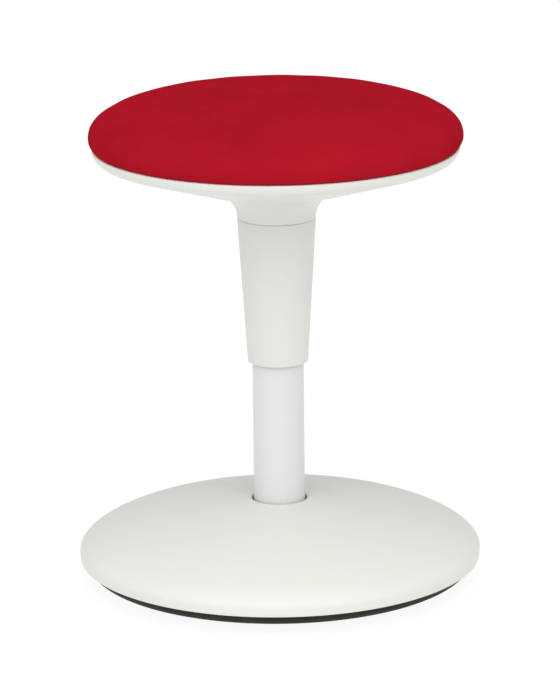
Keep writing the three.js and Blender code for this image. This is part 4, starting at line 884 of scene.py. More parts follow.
def powder_coated_steel(colours):
    """White powder coat baked on steel tube: smoother than the plastic, with orange peel."""
    # The peel's waves are 2 to 3 mm long and a few micrometres deep
    material, tree, shader = new_finish("powder_coated_steel", IOR=1.5, Roughness=0.33)
    place = add(tree, "ShaderNodeTexCoord").outputs["Object"]
    peel = add(
        tree, "ShaderNodeTexNoise", None,
        {"Vector": place, "Scale": per_metre(2.6 * MM), "Detail": 1.0, "Roughness": 0.4},
    )
    bump = add(
        tree, "ShaderNodeBump", None,
        {"Strength": 0.3, "Distance": 0.05 * MM, "Height": peel.outputs["Fac"]},
    )
    drift = add(
        tree, "ShaderNodeTexNoise", None,
        {"Vector": place, "Scale": per_metre(40 * MM), "Detail": 2.0},
    )
    thin = [share * factor for share, factor in zip(colours.powder_coat, (0.975, 0.975, 0.97, 1.0))]
    tone = add(
        tree, "ShaderNodeMix", {"data_type": "RGBA"},
        {"Factor": drift.outputs["Fac"], "A": tuple(colours.powder_coat), "B": thin},
    )
    tree.links.new(tone.outputs["Result"], shader.inputs["Base Color"])
    tree.links.new(bump.outputs["Normal"], shader.inputs["Normal"])
    return material


def knitted_polyester(colours):
    """Red polyester double knit: matt, with fine V stitches and a slight fuzz at grazing angles."""
    # The stitches are about 1 mm on a real cover, and drawn 1.7 mm wide so that they show
    wale, course = 1.7 * MM, 1.3 * MM
    material, tree, shader = new_finish(
        "knitted_polyester", IOR=1.45, Roughness=0.85,
    )
    shader.inputs["Specular IOR Level"].default_value = 0.0
    shader.inputs["Sheen Weight"].default_value = 0.04
    shader.inputs["Sheen Roughness"].default_value = 0.5
    shader.inputs["Sheen Tint"].default_value = linear("#B01C2E")
    cut = 2 * cut_radius(bpy.context.scene.stool_seat)
    flat = add(tree, "ShaderNodeUVMap", {"uv_map": "cloth"}).outputs["UV"]
    counted = add(
        tree, "ShaderNodeVectorMath", {"operation": "MULTIPLY"},
        {0: flat, 1: (cut / wale, cut / course, 1.0)},
    )
    across, along, _ = add(
        tree, "ShaderNodeSeparateXYZ", None, {0: counted.outputs["Vector"]},
    ).outputs
    # Two legs to a wale: their rounds, and the slant that makes each pair a V
    turns = add(tree, "ShaderNodeMath", {"operation": "MULTIPLY"}, {0: across, 1: math.tau})
    wave = add(tree, "ShaderNodeMath", {"operation": "SINE"}, {0: turns.outputs[0]})
    leg = add(tree, "ShaderNodeMath", {"operation": "ABSOLUTE"}, {0: wave.outputs[0]})
    within = add(tree, "ShaderNodeMath", {"operation": "FRACT"}, {0: across})
    centred = add(tree, "ShaderNodeMath", {"operation": "SUBTRACT"}, {0: within.outputs[0], 1: 0.5})
    slant = add(tree, "ShaderNodeMath", {"operation": "ABSOLUTE"}, {0: centred.outputs[0]})
    row = add(tree, "ShaderNodeMath", {"operation": "ADD"}, {0: along, 1: slant.outputs[0]})
    row_turns = add(tree, "ShaderNodeMath", {"operation": "MULTIPLY"}, {0: row.outputs[0], 1: math.tau})
    stitch = add(tree, "ShaderNodeMath", {"operation": "SINE"}, {0: row_turns.outputs[0]})
    raised = add(
        tree, "ShaderNodeMath", {"operation": "MULTIPLY_ADD"},
        {0: stitch.outputs[0], 1: 0.25, 2: 0.75},
    )
    yarn = add(
        tree, "ShaderNodeMath", {"operation": "MULTIPLY"}, {0: leg.outputs[0], 1: raised.outputs[0]},
    )
    bump = add(
        tree, "ShaderNodeBump", None,
        {"Strength": 0.45, "Distance": 0.12 * MM, "Height": yarn.outputs[0]},
    )
    # Dye takes a little unevenly over a hand's width
    place = add(tree, "ShaderNodeTexCoord").outputs["Object"]
    dye = add(
        tree, "ShaderNodeTexNoise", None,
        {"Vector": place, "Scale": per_metre(70 * MM), "Detail": 3.0, "Roughness": 0.55},
    )
    depth = add(
        tree, "ShaderNodeMapRange", None,
        {"Value": dye.outputs["Fac"], "From Min": 0.3, "From Max": 0.7, "To Min": 0.45, "To Max": 0.75},
    )
    # The valleys between the yarns take the darker red, as painted shade; the dye's uneven depth comes on
    # top of it
    share = add(
        tree, "ShaderNodeMath", {"operation": "MULTIPLY_ADD", "use_clamp": True},
        {0: yarn.outputs[0], 1: 0.45, 2: depth.outputs["Result"]},
    )
    tone = add(
        tree, "ShaderNodeMix", {"data_type": "RGBA"},
        {"Factor": share.outputs[0], "A": tuple(colours.knit_valley), "B": tuple(colours.knit)},
    )
    tree.links.new(tone.outputs["Result"], shader.inputs["Base Color"])
    tree.links.new(bump.outputs["Normal"], shader.inputs["Normal"])
    return material


def moulded_rubber(colours):
    """Dark natural rubber, compression moulded: dull, with a bloom and pale scuffs low down."""
    material, tree, shader = new_finish("moulded_rubber", IOR=1.52, Roughness=0.7)
    shader.inputs["Specular IOR Level"].default_value = 0.25
    place = add(tree, "ShaderNodeTexCoord").outputs["Object"]
    grain = add(
        tree, "ShaderNodeTexNoise", None,
        {"Vector": place, "Scale": per_metre(1.5 * MM), "Detail": 4.0, "Roughness": 0.65},
    )
    bump = add(
        tree, "ShaderNodeBump", None,
        {"Strength": 0.3, "Distance": 0.08 * MM, "Height": grain.outputs["Fac"]},
    )
    bloom = add(
        tree, "ShaderNodeTexNoise", None,
        {"Vector": place, "Scale": per_metre(22 * MM), "Detail": 5.0, "Roughness": 0.6},
    )
    scuffed = add(
        tree, "ShaderNodeMapRange", None,
        {"Value": bloom.outputs["Fac"], "From Min": 0.5, "From Max": 0.8, "To Min": 0.0, "To Max": 0.5},
    )
    pale = linear("#46433D")
    tone = add(
        tree, "ShaderNodeMix", {"data_type": "RGBA"},
        {"Factor": scuffed.outputs["Result"], "A": tuple(colours.rubber), "B": pale},
    )
    gloss = add(
        tree, "ShaderNodeMapRange", None,
        {"Value": bloom.outputs["Fac"], "To Min": 0.6, "To Max": 0.8},
    )
    tree.links.new(tone.outputs["Result"], shader.inputs["Base Color"])
    tree.links.new(gloss.outputs["Result"], shader.inputs["Roughness"])
    tree.links.new(bump.outputs["Normal"], shader.inputs["Normal"])
    return material


def glass_filled_nylon(colours):
    """Black glass-filled nylon, injection moulded: half matt, with pale fibre streaks."""
    material, tree, shader = new_finish("glass_filled_nylon", IOR=1.53, Roughness=0.5)
    place = add(tree, "ShaderNodeTexCoord").outputs["Object"]
    stretched = add(
        tree, "ShaderNodeMapping", None, {"Vector": place, "Scale": (1.0, 0.2, 1.0)},
    )
    fibre = add(
        tree, "ShaderNodeTexNoise", None,
        {"Vector": stretched.outputs["Vector"], "Scale": per_metre(1.2 * MM), "Detail": 3.0},
    )
    streak = add(
        tree, "ShaderNodeMapRange", None,
        {"Value": fibre.outputs["Fac"], "From Min": 0.55, "From Max": 0.85, "To Min": 0.0, "To Max": 0.4},
    )
    tone = add(
        tree, "ShaderNodeMix", {"data_type": "RGBA"},
        {
            "Factor": streak.outputs["Result"],
            "A": tuple(colours.black_plastic), "B": linear("#3A3A3B"),
        },
    )
    bump = add(
        tree, "ShaderNodeBump", None,
        {"Strength": 0.25, "Distance": 0.05 * MM, "Height": fibre.outputs["Fac"]},
    )
    tree.links.new(tone.outputs["Result"], shader.inputs["Base Color"])
    tree.links.new(bump.outputs["Normal"], shader.inputs["Normal"])
    return material


def electrocoated_steel(colours):
    """Pressed steel with black electrocoat: even and half gloss, with the sheet's faint waves."""
    material, tree, shader = new_finish("electrocoated_steel", IOR=1.5, Roughness=0.4)
    place = add(tree, "ShaderNodeTexCoord").outputs["Object"]
    sheet = add(
        tree, "ShaderNodeTexNoise", None,
        {"Vector": place, "Scale": per_metre(8 * MM), "Detail": 3.0},
    )
    tone = add(
        tree, "ShaderNodeMix", {"data_type": "RGBA"},
        {"Factor": sheet.outputs["Fac"], "A": linear("#1B1C1E"), "B": linear("#2A2B2E")},
    )
    bump = add(
        tree, "ShaderNodeBump", None,
        {"Strength": 0.2, "Distance": 0.1 * MM, "Height": sheet.outputs["Fac"]},
    )
    tree.links.new(tone.outputs["Result"], shader.inputs["Base Color"])
    tree.links.new(bump.outputs["Normal"], shader.inputs["Normal"])
    return material


def zinc_plated_steel(colours):
    """Bright zinc on turned steel: metallic grey with fine lines round the axis."""
    material, tree, shader = new_finish("zinc_plated_steel", Metallic=1.0, Roughness=0.3)
    place = add(tree, "ShaderNodeTexCoord").outputs["Object"]
    squeezed = add(
        tree, "ShaderNodeMapping", None, {"Vector": place, "Scale": (0.05, 0.05, 1.0)},
    )
    lines = add(
        tree, "ShaderNodeTexNoise", None,
        {"Vector": squeezed.outputs["Vector"], "Scale": per_metre(0.5 * MM), "Detail": 4.0},
    )
    gloss = add(
        tree, "ShaderNodeMapRange", None,
        {"Value": lines.outputs["Fac"], "To Min": 0.22, "To Max": 0.42},
    )
    tone = add(
        tree, "ShaderNodeMix", {"data_type": "RGBA"},
        {"Factor": lines.outputs["Fac"], "A": linear("#B9BCC0"), "B": linear("#D3D5D6")},
    )
    tree.links.new(tone.outputs["Result"], shader.inputs["Base Color"])
    tree.links.new(gloss.outputs["Result"], shader.inputs["Roughness"])
    return material


def sand_cast_iron(colours):
    """Grey iron from a sand mould, with a thin oil film: dark, rough and pitted."""
    material, tree, shader = new_finish("sand_cast_iron", Metallic=0.7, Roughness=0.6)
    place = add(tree, "ShaderNodeTexCoord").outputs["Object"]
    sand = add(
        tree, "ShaderNodeTexNoise", None,
        {"Vector": place, "Scale": per_metre(1.8 * MM), "Detail": 5.0, "Roughness": 0.7},
    )
    bump = add(
        tree, "ShaderNodeBump", None,
        {"Strength": 0.6, "Distance": 0.3 * MM, "Height": sand.outputs["Fac"]},
    )
    tone = add(
        tree, "ShaderNodeMix", {"data_type": "RGBA"},
        {"Factor": sand.outputs["Fac"], "A": linear("#2E2F31"), "B": linear("#4B4A47")},
    )
    tree.links.new(tone.outputs["Result"], shader.inputs["Base Color"])
    tree.links.new(bump.outputs["Normal"], shader.inputs["Normal"])
    return material


def turned_brass(colours):
    """Brass from the lathe: warm metal with tool lines round its axis."""
    material, tree, shader = new_finish("turned_brass", Metallic=1.0, Roughness=0.25)
    place = add(tree, "ShaderNodeTexCoord").outputs["Object"]
    squeezed = add(
        tree, "ShaderNodeMapping", None, {"Vector": place, "Scale": (0.05, 0.05, 1.0)},
    )
    lines = add(
        tree, "ShaderNodeTexNoise", None,
        {"Vector": squeezed.outputs["Vector"], "Scale": per_metre(0.4 * MM), "Detail": 3.0},
    )
    tone = add(
        tree, "ShaderNodeMix", {"data_type": "RGBA"},
        {"Factor": lines.outputs["Fac"], "A": linear("#B08D3A"), "B": linear("#CBAA55")},
    )
    gloss = add(
        tree, "ShaderNodeMapRange", None,
        {"Value": lines.outputs["Fac"], "To Min": 0.2, "To Max": 0.36},
    )
    tree.links.new(tone.outputs["Result"], shader.inputs["Base Color"])
    tree.links.new(gloss.outputs["Result"], shader.inputs["Roughness"])
    return material


def birch_plywood(colours):
    """Sanded birch plywood: pale figure along the grain, and dark glue lines on its edge."""
    plies = 7
    material, tree, shader = new_finish("birch_plywood", IOR=1.5, Roughness=0.6)
    place = add(tree, "ShaderNodeTexCoord").outputs["Object"]
    stretched = add(
        tree, "ShaderNodeMapping", None, {"Vector": place, "Scale": (1.0, 0.08, 1.0)},
    )
    figure = add(
        tree, "ShaderNodeTexNoise", None,
        {"Vector": stretched.outputs["Vector"], "Scale": per_metre(6 * MM), "Detail": 5.0},
    )
    wood = add(
        tree, "ShaderNodeMix", {"data_type": "RGBA"},
        {"Factor": figure.outputs["Fac"], "A": linear("#C9A874"), "B": linear("#DCC397")},
    )
    height = add(tree, "ShaderNodeSeparateXYZ", None, {0: place}).outputs["Z"]
    counted = add(
        tree, "ShaderNodeMath", {"operation": "MULTIPLY"},
        {0: height, 1: plies / (BOARD_HIGH.z - BOARD_LOW.z)},
    )
    within = add(tree, "ShaderNodeMath", {"operation": "FRACT"}, {0: counted.outputs[0]})
    glue = add(tree, "ShaderNodeMath", {"operation": "GREATER_THAN"}, {0: within.outputs[0], 1: 0.9})
    facing = add(
        tree, "ShaderNodeSeparateXYZ", None,
        {0: add(tree, "ShaderNodeNewGeometry").outputs["Normal"]},
    ).outputs["Z"]
    flat = add(tree, "ShaderNodeMath", {"operation": "ABSOLUTE"}, {0: facing})
    edge = add(tree, "ShaderNodeMath", {"operation": "LESS_THAN"}, {0: flat.outputs[0], 1: 0.9})
    line = add(tree, "ShaderNodeMath", {"operation": "MULTIPLY"}, {0: glue.outputs[0], 1: edge.outputs[0]})
    tone = add(
        tree, "ShaderNodeMix", {"data_type": "RGBA"},
        {"Factor": line.outputs[0], "A": wood.outputs["Result"], "B": linear("#6E4E2C")},
    )
    tree.links.new(tone.outputs["Result"], shader.inputs["Base Color"])
    return material


def cut_polyurethane_foam(colours):
    """Cut polyurethane foam: cream, quite matt, with open cells about 1 mm wide."""
    material, tree, shader = new_finish("cut_polyurethane_foam", IOR=1.45, Roughness=0.95)
    shader.inputs["Specular IOR Level"].default_value = 0.1
    place = add(tree, "ShaderNodeTexCoord").outputs["Object"]
    cells = add(
        tree, "ShaderNodeTexVoronoi", None, {"Vector": place, "Scale": per_metre(1.2 * MM)},
    )
    bump = add(
        tree, "ShaderNodeBump", None,
        {"Strength": 0.6, "Distance": 0.4 * MM, "Height": cells.outputs["Distance"]},
    )
    tone = add(
        tree, "ShaderNodeMix", {"data_type": "RGBA"},
        {"Factor": cells.outputs["Distance"], "A": linear("#EADFB9"), "B": linear("#C9BB90")},
    )
    tree.links.new(tone.outputs["Result"], shader.inputs["Base Color"])
    tree.links.new(bump.outputs["Normal"], shader.inputs["Normal"])
    return material


FINISHES = {
    "white_moulding": injection_moulded_polypropylene,
    "white_powder_coat": powder_coated_steel,
    "red_fabric": knitted_polyester,
    "dark_rubber": moulded_rubber,
    "black_moulding": glass_filled_nylon,
    "foam": cut_polyurethane_foam,
    "plywood": birch_plywood,
    "steel": zinc_plated_steel,
    "black_steel": electrocoated_steel,
    "cast_iron": sand_cast_iron,
    "brass": turned_brass,
}


def finish(slot):
    """The one material of a slot, made when it is first asked for."""
    make = FINISHES[slot]
    return bpy.data.materials.get(make.__name__) or make(bpy.context.scene.stool_colours)


# Cloth

def lengths_along(line):
    """How far along the line each of its points lies."""
    total = [0.0]
    for here, there in zip(line, line[1:]):
        total.append(total[-1] + math.dist(here, there))
    return total


def cut_radius(size):
    """Radius of the disc of cloth that the cover is cut from."""
    return lengths_along(cloth_line(size, 0.0)[0])[-1]


def on_line(line, marks, mark):
    """The point of the line at a mark, where marks rise with its points."""
    low, high = 0, len(marks) - 1
    while high - low > 1:
        middle = (low + high) // 2
        low, high = (middle, high) if marks[middle] <= mark else (low, middle)
    span = marks[high] - marks[low]
    share = (mark - marks[low]) / span if span else 0.0
    return [a + (b - a) * share for a, b in zip(line[low], line[high])]


def flat_disc(name, size):
    """The cut cloth lying flat: a grid drawn round to a disc, then rings out to its edge."""
    cells = 40
    cell = 5.0 * MM
    core = 0.42 * cut_radius(size)
    line, free = cloth_line(size, 0.0)
    marks = lengths_along(line)
    # Even rings over the pad, then one at each turn of the line that the rim holds
    crown_rings = round((marks[free - 1] - core) / cell)
    rings = [core + (marks[free - 1] - core) * i / crown_rings for i in range(1, crown_rings + 1)]
    rings += marks[free:-1:2]
    held_end = marks[-1]
    rings += [held_end - 2 * size.hem / 3, held_end - size.hem / 3, held_end]
    rings = sorted(set(rings))
    # Extruded points come in another order each run, and the cloth would then swell to another
    # form, so this mesh is written out in one fixed order
    shares = [2 * i / cells - 1 for i in range(cells + 1)]
    points = [
        (core * x * math.sqrt(1 - y * y / 2), core * y * math.sqrt(1 - x * x / 2), 0.0)
        for y in shares for x in shares
    ]
    row = cells + 1
    faces = [
        (i, i + 1, i + row + 1, i + row)
        for start in range(0, cells * row, row) for i in range(start, start + cells)
    ]
    # Round the grid, anticlockwise from its lower left corner
    loop = list(range(cells)) + [i * row + cells for i in range(cells)]
    loop += [cells * row + cells - i for i in range(cells)] + [(cells - i) * row for i in range(cells)]
    edge = [points[i] for i in loop]
    for ring in rings:
        outer = list(range(len(points), len(points) + len(loop)))
        points += [(x * ring / core, y * ring / core, 0.0) for x, y, _ in edge]
        for i in range(len(loop)):
            faces.append((loop[i - 1], outer[i - 1], outer[i], loop[i]))
        loop = outer
    mesh = bpy.data.meshes.new(name)
    mesh.from_pydata(points, [], faces)
    piece = bpy.data.objects.new(name, mesh)
    bpy.context.scene.collection.objects.link(piece)
    return piece


def mark_flat_cloth(piece, cut):
    """Writes the flat cloth's own place on it, which the knit follows."""
    while piece.data.uv_layers:
        piece.data.uv_layers.remove(piece.data.uv_layers[0])
    layer = piece.data.uv_layers.new(name="cloth")
    for loop in piece.data.loops:
        place = piece.data.vertices[loop.vertex_index].co
        layer.data[loop.index].uv = (place.x / (2 * cut) + 0.5, place.y / (2 * cut) + 0.5)


def swell(piece, pinned, top):
    """Blows the slack cover up over its foam, up to the height of its crown."""
    last_frame = 20
    cap = 9 * MM
    scene = bpy.context.scene
    # Only the group's name is kept: applying a modifier makes the groups anew
    stapled = "stapled"
    piece.vertex_groups.new(name=stapled).add(pinned, 1.0, "REPLACE")
    start = [point.co.copy() for point in piece.data.vertices]
    pick_only(piece)
    bpy.ops.object.modifier_add(type="CLOTH")
    cloth = piece.modifiers[-1]
    cloth.settings.quality = 6
    # A knit gives way when it is pushed together, so it hardly buckles, and the foam backs it
    cloth.settings.compression_stiffness = 1.0
    cloth.settings.shear_stiffness = 2.0
    cloth.settings.bending_stiffness = 4.0
    cloth.settings.use_pressure = True
    cloth.settings.uniform_pressure_force = 4.0
    cloth.settings.effector_weights.gravity = 0.0
    cloth.settings.vertex_group_mass = stapled
    cloth.point_cache.frame_start = 1
    cloth.point_cache.frame_end = last_frame
    scene.frame_start, scene.frame_end = 1, last_frame
    for number in range(1, last_frame + 1):
        scene.frame_set(number)
    bpy.ops.object.modifier_apply(modifier=cloth.name)
    scene.frame_set(1)
    moves = [point.co - before for point, before in zip(piece.data.vertices, start)]
    start_top = max(place.z for place in start)
    rise = max(place.z + move.z for place, move in zip(start, moves)) - start_top
    if rise <= 0:
        raise RuntimeError("the cover did not swell")
    share = (top - start_top) / rise
    for point, before, move in zip(piece.data.vertices, start, moves):
        step = move * share
        if step.length > cap:
            step *= cap / step.length
        point.co = before + step
    # The foam's skin is too stiff for the smallest waves
    shaped(
        piece, "SMOOTH", factor=0.5, iterations=12,
        vertex_group=stapled, invert_vertex_group=True,
    )
    piece.vertex_groups.clear()


def gather(piece, size):
    """Draws the cloth into faint gathers where it turns in over the rim."""
    reach = 16 * MM
    foot_z = SHELL_HIGH.z + GAP
    waves = ((46, 0.4, 1.0), (71, 2.1, 0.7), (103, 4.4, 0.5))
    for point in piece.data.vertices:
        out = math.hypot(point.co.x, point.co.y)
        above = point.co.z - foot_z
        if out < size.shell_radius - reach or above < 0 or above > reach:
            continue
        fade = math.sin(math.pi * min(above / reach + 0.2, 1.0)) ** 2
        turn = math.atan2(point.co.y, point.co.x)
        # Strongest at the front left, where the cloth was stapled last
        local = 0.3 + 0.7 * max(math.cos(turn - math.radians(235)), 0.0) ** 3
        height = sum(share * math.sin(count * turn + phase) for count, phase, share in waves)
        step = point.normal * (size.pucker * height * fade * local)
        point.co += Vector((step.x, step.y, max(step.z, foot_z - point.co.z)))


# Operators

class STOOL_OT_build_stage(bpy.types.Operator):
    """Sets the camera, the lights and the floor"""

    bl_idname = "stool.build_stage"
    bl_label = "Stage"

    def execute(self, context):
        stage = context.scene.stool_stage
        pick_only()
        bpy.ops.mesh.primitive_plane_add(size=stage.floor_size)
        floor = fresh("studio_floor")
        material, tree, shader = new_finish("matt_studio_floor", Roughness=0.9)
        # A translucent sheet lit from below, as under products that stand on pure white
        shader.inputs["Base Color"].default_value = linear("#606060")
        shader.inputs["Specular IOR Level"].default_value = 0.0
        shader.inputs["Emission Color"].default_value = linear("#FFFFFF")
        shader.inputs["Emission Strength"].default_value = stage.floor_glow
        floor.data.materials.append(material)
        back = Vector((0.0, -math.cos(stage.elevation), math.sin(stage.elevation)))
        bpy.ops.object.camera_add()
        camera = fresh("photo_camera")
        camera.location = Vector(stage.target) + back * stage.distance
        camera.rotation_mode = "QUATERNION"
        level = (-back).to_track_quat("-Z", "Y")
        camera.rotation_quaternion = level @ Quaternion((0.0, 0.0, 1.0), stage.roll)
        camera.data.sensor_width = 36.0
        camera.data.lens = stage.lens
        camera.data.clip_end = 100.0
        context.scene.camera = camera
        # A very wide soft light in front and above, as from a large scrim
        key_place = Vector((-0.1, -2.4, 2.9))
        bpy.ops.object.light_add(type="SUN", location=key_place)
        key = fresh("key_light")
        key.rotation_mode = "QUATERNION"
        key.rotation_quaternion = (-key_place).to_track_quat("-Z", "Y")
        key.data.angle = stage.key_spread
        key.data.energy = stage.key
        world = bpy.data.worlds.new("white_room")
        world.use_nodes = True
        background = world.node_tree.nodes["Background"]
        background.inputs["Color"].default_value = (1.0, 1.0, 1.0, 1.0)
        background.inputs["Strength"].default_value = stage.ambient
        context.scene.world = world
        context.scene.view_settings.view_transform = "Standard"
        return {"FINISHED"}


class STOOL_OT_build_sole(bpy.types.Operator):
    """Models the rubber sole with its lip and ring tread"""

    bl_idname = "stool.build_sole"
    bl_label = "Rubber sole"

    def execute(self, context):
        sole = turned("rocking_sole", sole_outline(context.scene.stool_base))
        softened(sole, 0.3 * MM)
        settled(sole, "base", "dark_rubber", "rocker_sole")
        return {"FINISHED"}


class STOOL_OT_build_cover(bpy.types.Operator):
    """Models the base's dome with its collar and screw bosses"""

    bl_idname = "stool.build_cover"
    bl_label = "Base cover"

    def execute(self, context):
        size = context.scene.stool_base
        cover = turned("dome_cover", cover_outline(size))
        reach = size.cover_screw_circle
        fall = dome_height(size, reach - MM) - dome_height(size, reach + MM)
        slope = math.atan2(fall, 2 * MM)
        outward = Vector((math.sin(slope), 0.0, math.cos(slope)))
        middle = Vector((reach, 0.0, dome_height(size, reach))) - outward * size.cover_wall / 2
        boss_low = COVER_SCREW_HIGH.z - size.cover_screw_bite
        bosses = wall_boss(
            "dome_bosses", size.cover_boss, boss_low, COVER_HIGH.z, reach, middle, outward,
        )
        combined(cover, bosses, "UNION")
        bore = round_bar("bore", SCREW_BORE, boss_low - OVERRUN, COVER_SCREW_HIGH.z + GAP, reach)
        combined(cover, four_round(bore), "DIFFERENCE")
        softened(cover, 0.4 * MM)
        settled(cover, "base", "white_moulding", "base_cover")
        return {"FINISHED"}


class STOOL_OT_build_tube(bpy.types.Operator):
    """Models the stand tube with its taper and rolled-in foot"""

    bl_idname = "stool.build_tube"
    bl_label = "Stand tube"

    def execute(self, context):
        tube = turned("coated_tube", tube_outline(context.scene.stool_base))
        softened(tube, 0.2 * MM)
        settled(tube, "base", "white_powder_coat", "stand_tube")
        return {"FINISHED"}


class STOOL_OT_build_sleeve(bpy.types.Operator):
    """Models the tapered sleeve with its lip and spigot"""

    bl_idname = "stool.build_sleeve"
    bl_label = "Column sleeve"

    def execute(self, context):
        sleeve = turned("tapered_sleeve", sleeve_outline(context.scene.stool_seat))
        settled(sleeve, "seat", "white_moulding", "column_sleeve")
        return {"FINISHED"}


class STOOL_OT_build_shell(bpy.types.Operator):
    """Models the seat's bowl with its bosses, screw recesses and lever slot"""

    bl_idname = "stool.build_shell"
    bl_label = "Seat shell"

    def execute(self, context):
        size = context.scene.stool_seat
        shell = turned("seat_bowl", shell_outline(size))
        middle = Vector((size.screw_circle, 0.0, bowl_height(size, size.screw_circle)))
        inward = Vector((-math.sin(size.bowl_slope), 0.0, math.cos(size.bowl_slope)))
        bosses = wall_boss(
            "bowl_bosses", size.shell_boss, middle.z - 8 * MM, BOARD_LOW.z - GAP,
            size.screw_circle, middle + inward * size.shell_wall / 2, -inward,
        )
        combined(shell, bosses, "UNION")
        head_top = SHELL_SCREW_LOW.z + SCREW_HEAD_HEIGHT + GAP
        bore = round_bar("bore", SCREW_BORE, middle.z - 8 * MM, BOARD_LOW.z + OVERRUN, size.screw_circle)
        combined(shell, four_round(bore), "DIFFERENCE")
        recess = round_bar("recess", SCREW_RECESS, middle.z - 8 * MM, head_top, size.screw_circle)
        combined(shell, four_round(recess), "DIFFERENCE")
        pick_only()
        bpy.ops.mesh.primitive_cube_add(size=1.0)
        slot = fresh("slot")
        slot.scale = (size.slot_width, size.slot_length, 80 * MM)
        placed(slot, (0.0, size.slot_reach, SHELL_LOW.z + 30 * MM))
        select_edges(slot, lambda a, b: abs(a.z - b.z) > size.slot_width)
        bpy.ops.mesh.bevel(offset=size.slot_width / 2 - 0.01 * MM, segments=8, affect="EDGES")
        pick_only(slot)
        combined(shell, slot, "DIFFERENCE")
        settled(shell, "seat", "white_moulding", "seat_shell")
        return {"FINISHED"}


class STOOL_OT_build_shell_screws(bpy.types.Operator):
    """Models one screw with a cross recess, and copies it to the four bosses"""

    bl_idname = "stool.build_shell_screws"
    bl_label = "Shell screws"

    def execute(self, context):
        size = context.scene.stool_seat
        low, high = SHELL_SCREW_LOW.z, SHELL_SCREW_HIGH.z
        edge = 0.5 * MM
        shoulder = low + SCREW_HEAD_HEIGHT
        outline = [
            (0.0, low), (SCREW_HEAD - edge, low), (SCREW_HEAD, low + edge), (SCREW_HEAD, shoulder),
            (SCREW_SHANK, shoulder), (SCREW_SHANK, high - SCREW_SHANK), (edge, high), (0.0, high),
        ]
        screw = turned("bowl_screw_1", outline, SCREW_STEPS)
        for sides in ((5.2, 1.1, 3.0), (1.1, 5.2, 3.2)):
            pick_only()
            bpy.ops.mesh.primitive_cube_add(size=1.0)
            tool = fresh("cross")
            tool.scale = [side * MM for side in sides]
            combined(screw, placed(tool, (0.0, 0.0, low)), "DIFFERENCE")
        softened(screw, 0.12 * MM)
        copies = [screw]
        for i in range(1, 4):
            pick_only(screw)
            bpy.ops.object.duplicate()
            copies.append(fresh(f"bowl_screw_{i + 1}"))
        for i, copy in enumerate(copies):
            angle = QUARTER * (i + 0.5)
            place = (size.screw_circle * math.cos(angle), size.screw_circle * math.sin(angle), 0.0)
            placed(copy, place, (0.0, 0.0, 0.7 * i))
            settled(copy, "seat", "steel", f"shell_screw_{i + 1}")
        return {"FINISHED"}


class STOOL_OT_build_pad(bpy.types.Operator):
    """Cuts the cover flat, pulls it over the pad, swells it, and shapes the foam in it"""

    bl_idname = "stool.build_pad"
    bl_label = "Seat pad"

    def execute(self, context):
        size = context.scene.stool_seat
        cover = flat_disc("knitted_cover", size)
        cut = cut_radius(size)
        mark_flat_cloth(cover, cut)
        slack = size.pad_slack
        line, free = cloth_line(size, slack)
        full_marks = lengths_along(cloth_line(size, 0.0)[0])
        foot_mark = full_marks[free - 1]
        pinned = []
        # The free cloth is spread over the slack line by shares of its length
        free_line = line[:free]
        free_marks = lengths_along(free_line)
        held_line = line[free - 1 :]
        held_marks = full_marks[free - 1 :]
        for point in cover.data.vertices:
            out = math.hypot(point.co.x, point.co.y)
            if out < foot_mark - WELD:
                r, z = on_line(free_line, free_marks, out / foot_mark * free_marks[-1])
            else:
                r, z = on_line(held_line, held_marks, min(out, held_marks[-1]))
                pinned.append(point.index)
            factor = r / out if out else 0.0
            point.co = (point.co.x * factor, point.co.y * factor, z)
        if slack:
            swell(cover, pinned, FABRIC_HIGH.z)
        shaped(cover, "SUBSURF", levels=1, render_levels=1)
        gather(cover, size)
        foam = self.foam_inside(cover, size)
        shaped(cover, "SOLIDIFY", thickness=size.fabric_wall, offset=-1.0, use_even_offset=True)
        settled(cover, "seat", "red_fabric", "fabric_cover")
        settled(foam, "seat", "foam", "foam_pad")
        return {"FINISHED"}

    def foam_inside(self, cover, size):
        """The foam under the cover: the cloth's own form, drawn in by its wall and closed below."""
        foot_z = SHELL_HIGH.z + GAP
        pick_only(cover)
        bpy.ops.object.duplicate()
        foam = fresh("crowned_foam")
        select_faces(foam, lambda face: face.center.z < foot_z + 1 * MM)
        bpy.ops.mesh.delete(type="FACE")
        bpy.ops.mesh.select_all(action="SELECT")
        bpy.ops.transform.shrink_fatten(value=-(size.fabric_wall + GAP + 0.2 * MM))
        bpy.ops.mesh.select_mode(type="EDGE")
        bpy.ops.mesh.region_to_loop()
        bpy.ops.mesh.extrude_edges_move()
        bpy.ops.object.mode_set(mode="OBJECT")
        # The foam's flat underside lies on the board, whose edge it hangs a little over
        for point in foam.data.vertices:
            if point.select:
                factor = (BOARD_HIGH.x + GAP) / math.hypot(point.co.x, point.co.y)
                point.co = (point.co.x * factor, point.co.y * factor, BOARD_HIGH.z + GAP)
        bpy.ops.object.mode_set(mode="EDIT")
        bpy.ops.mesh.edge_face_add()
        bpy.ops.mesh.select_all(action="SELECT")
        bpy.ops.mesh.normals_make_consistent(inside=False)
        bpy.ops.object.mode_set(mode="OBJECT")
        return foam


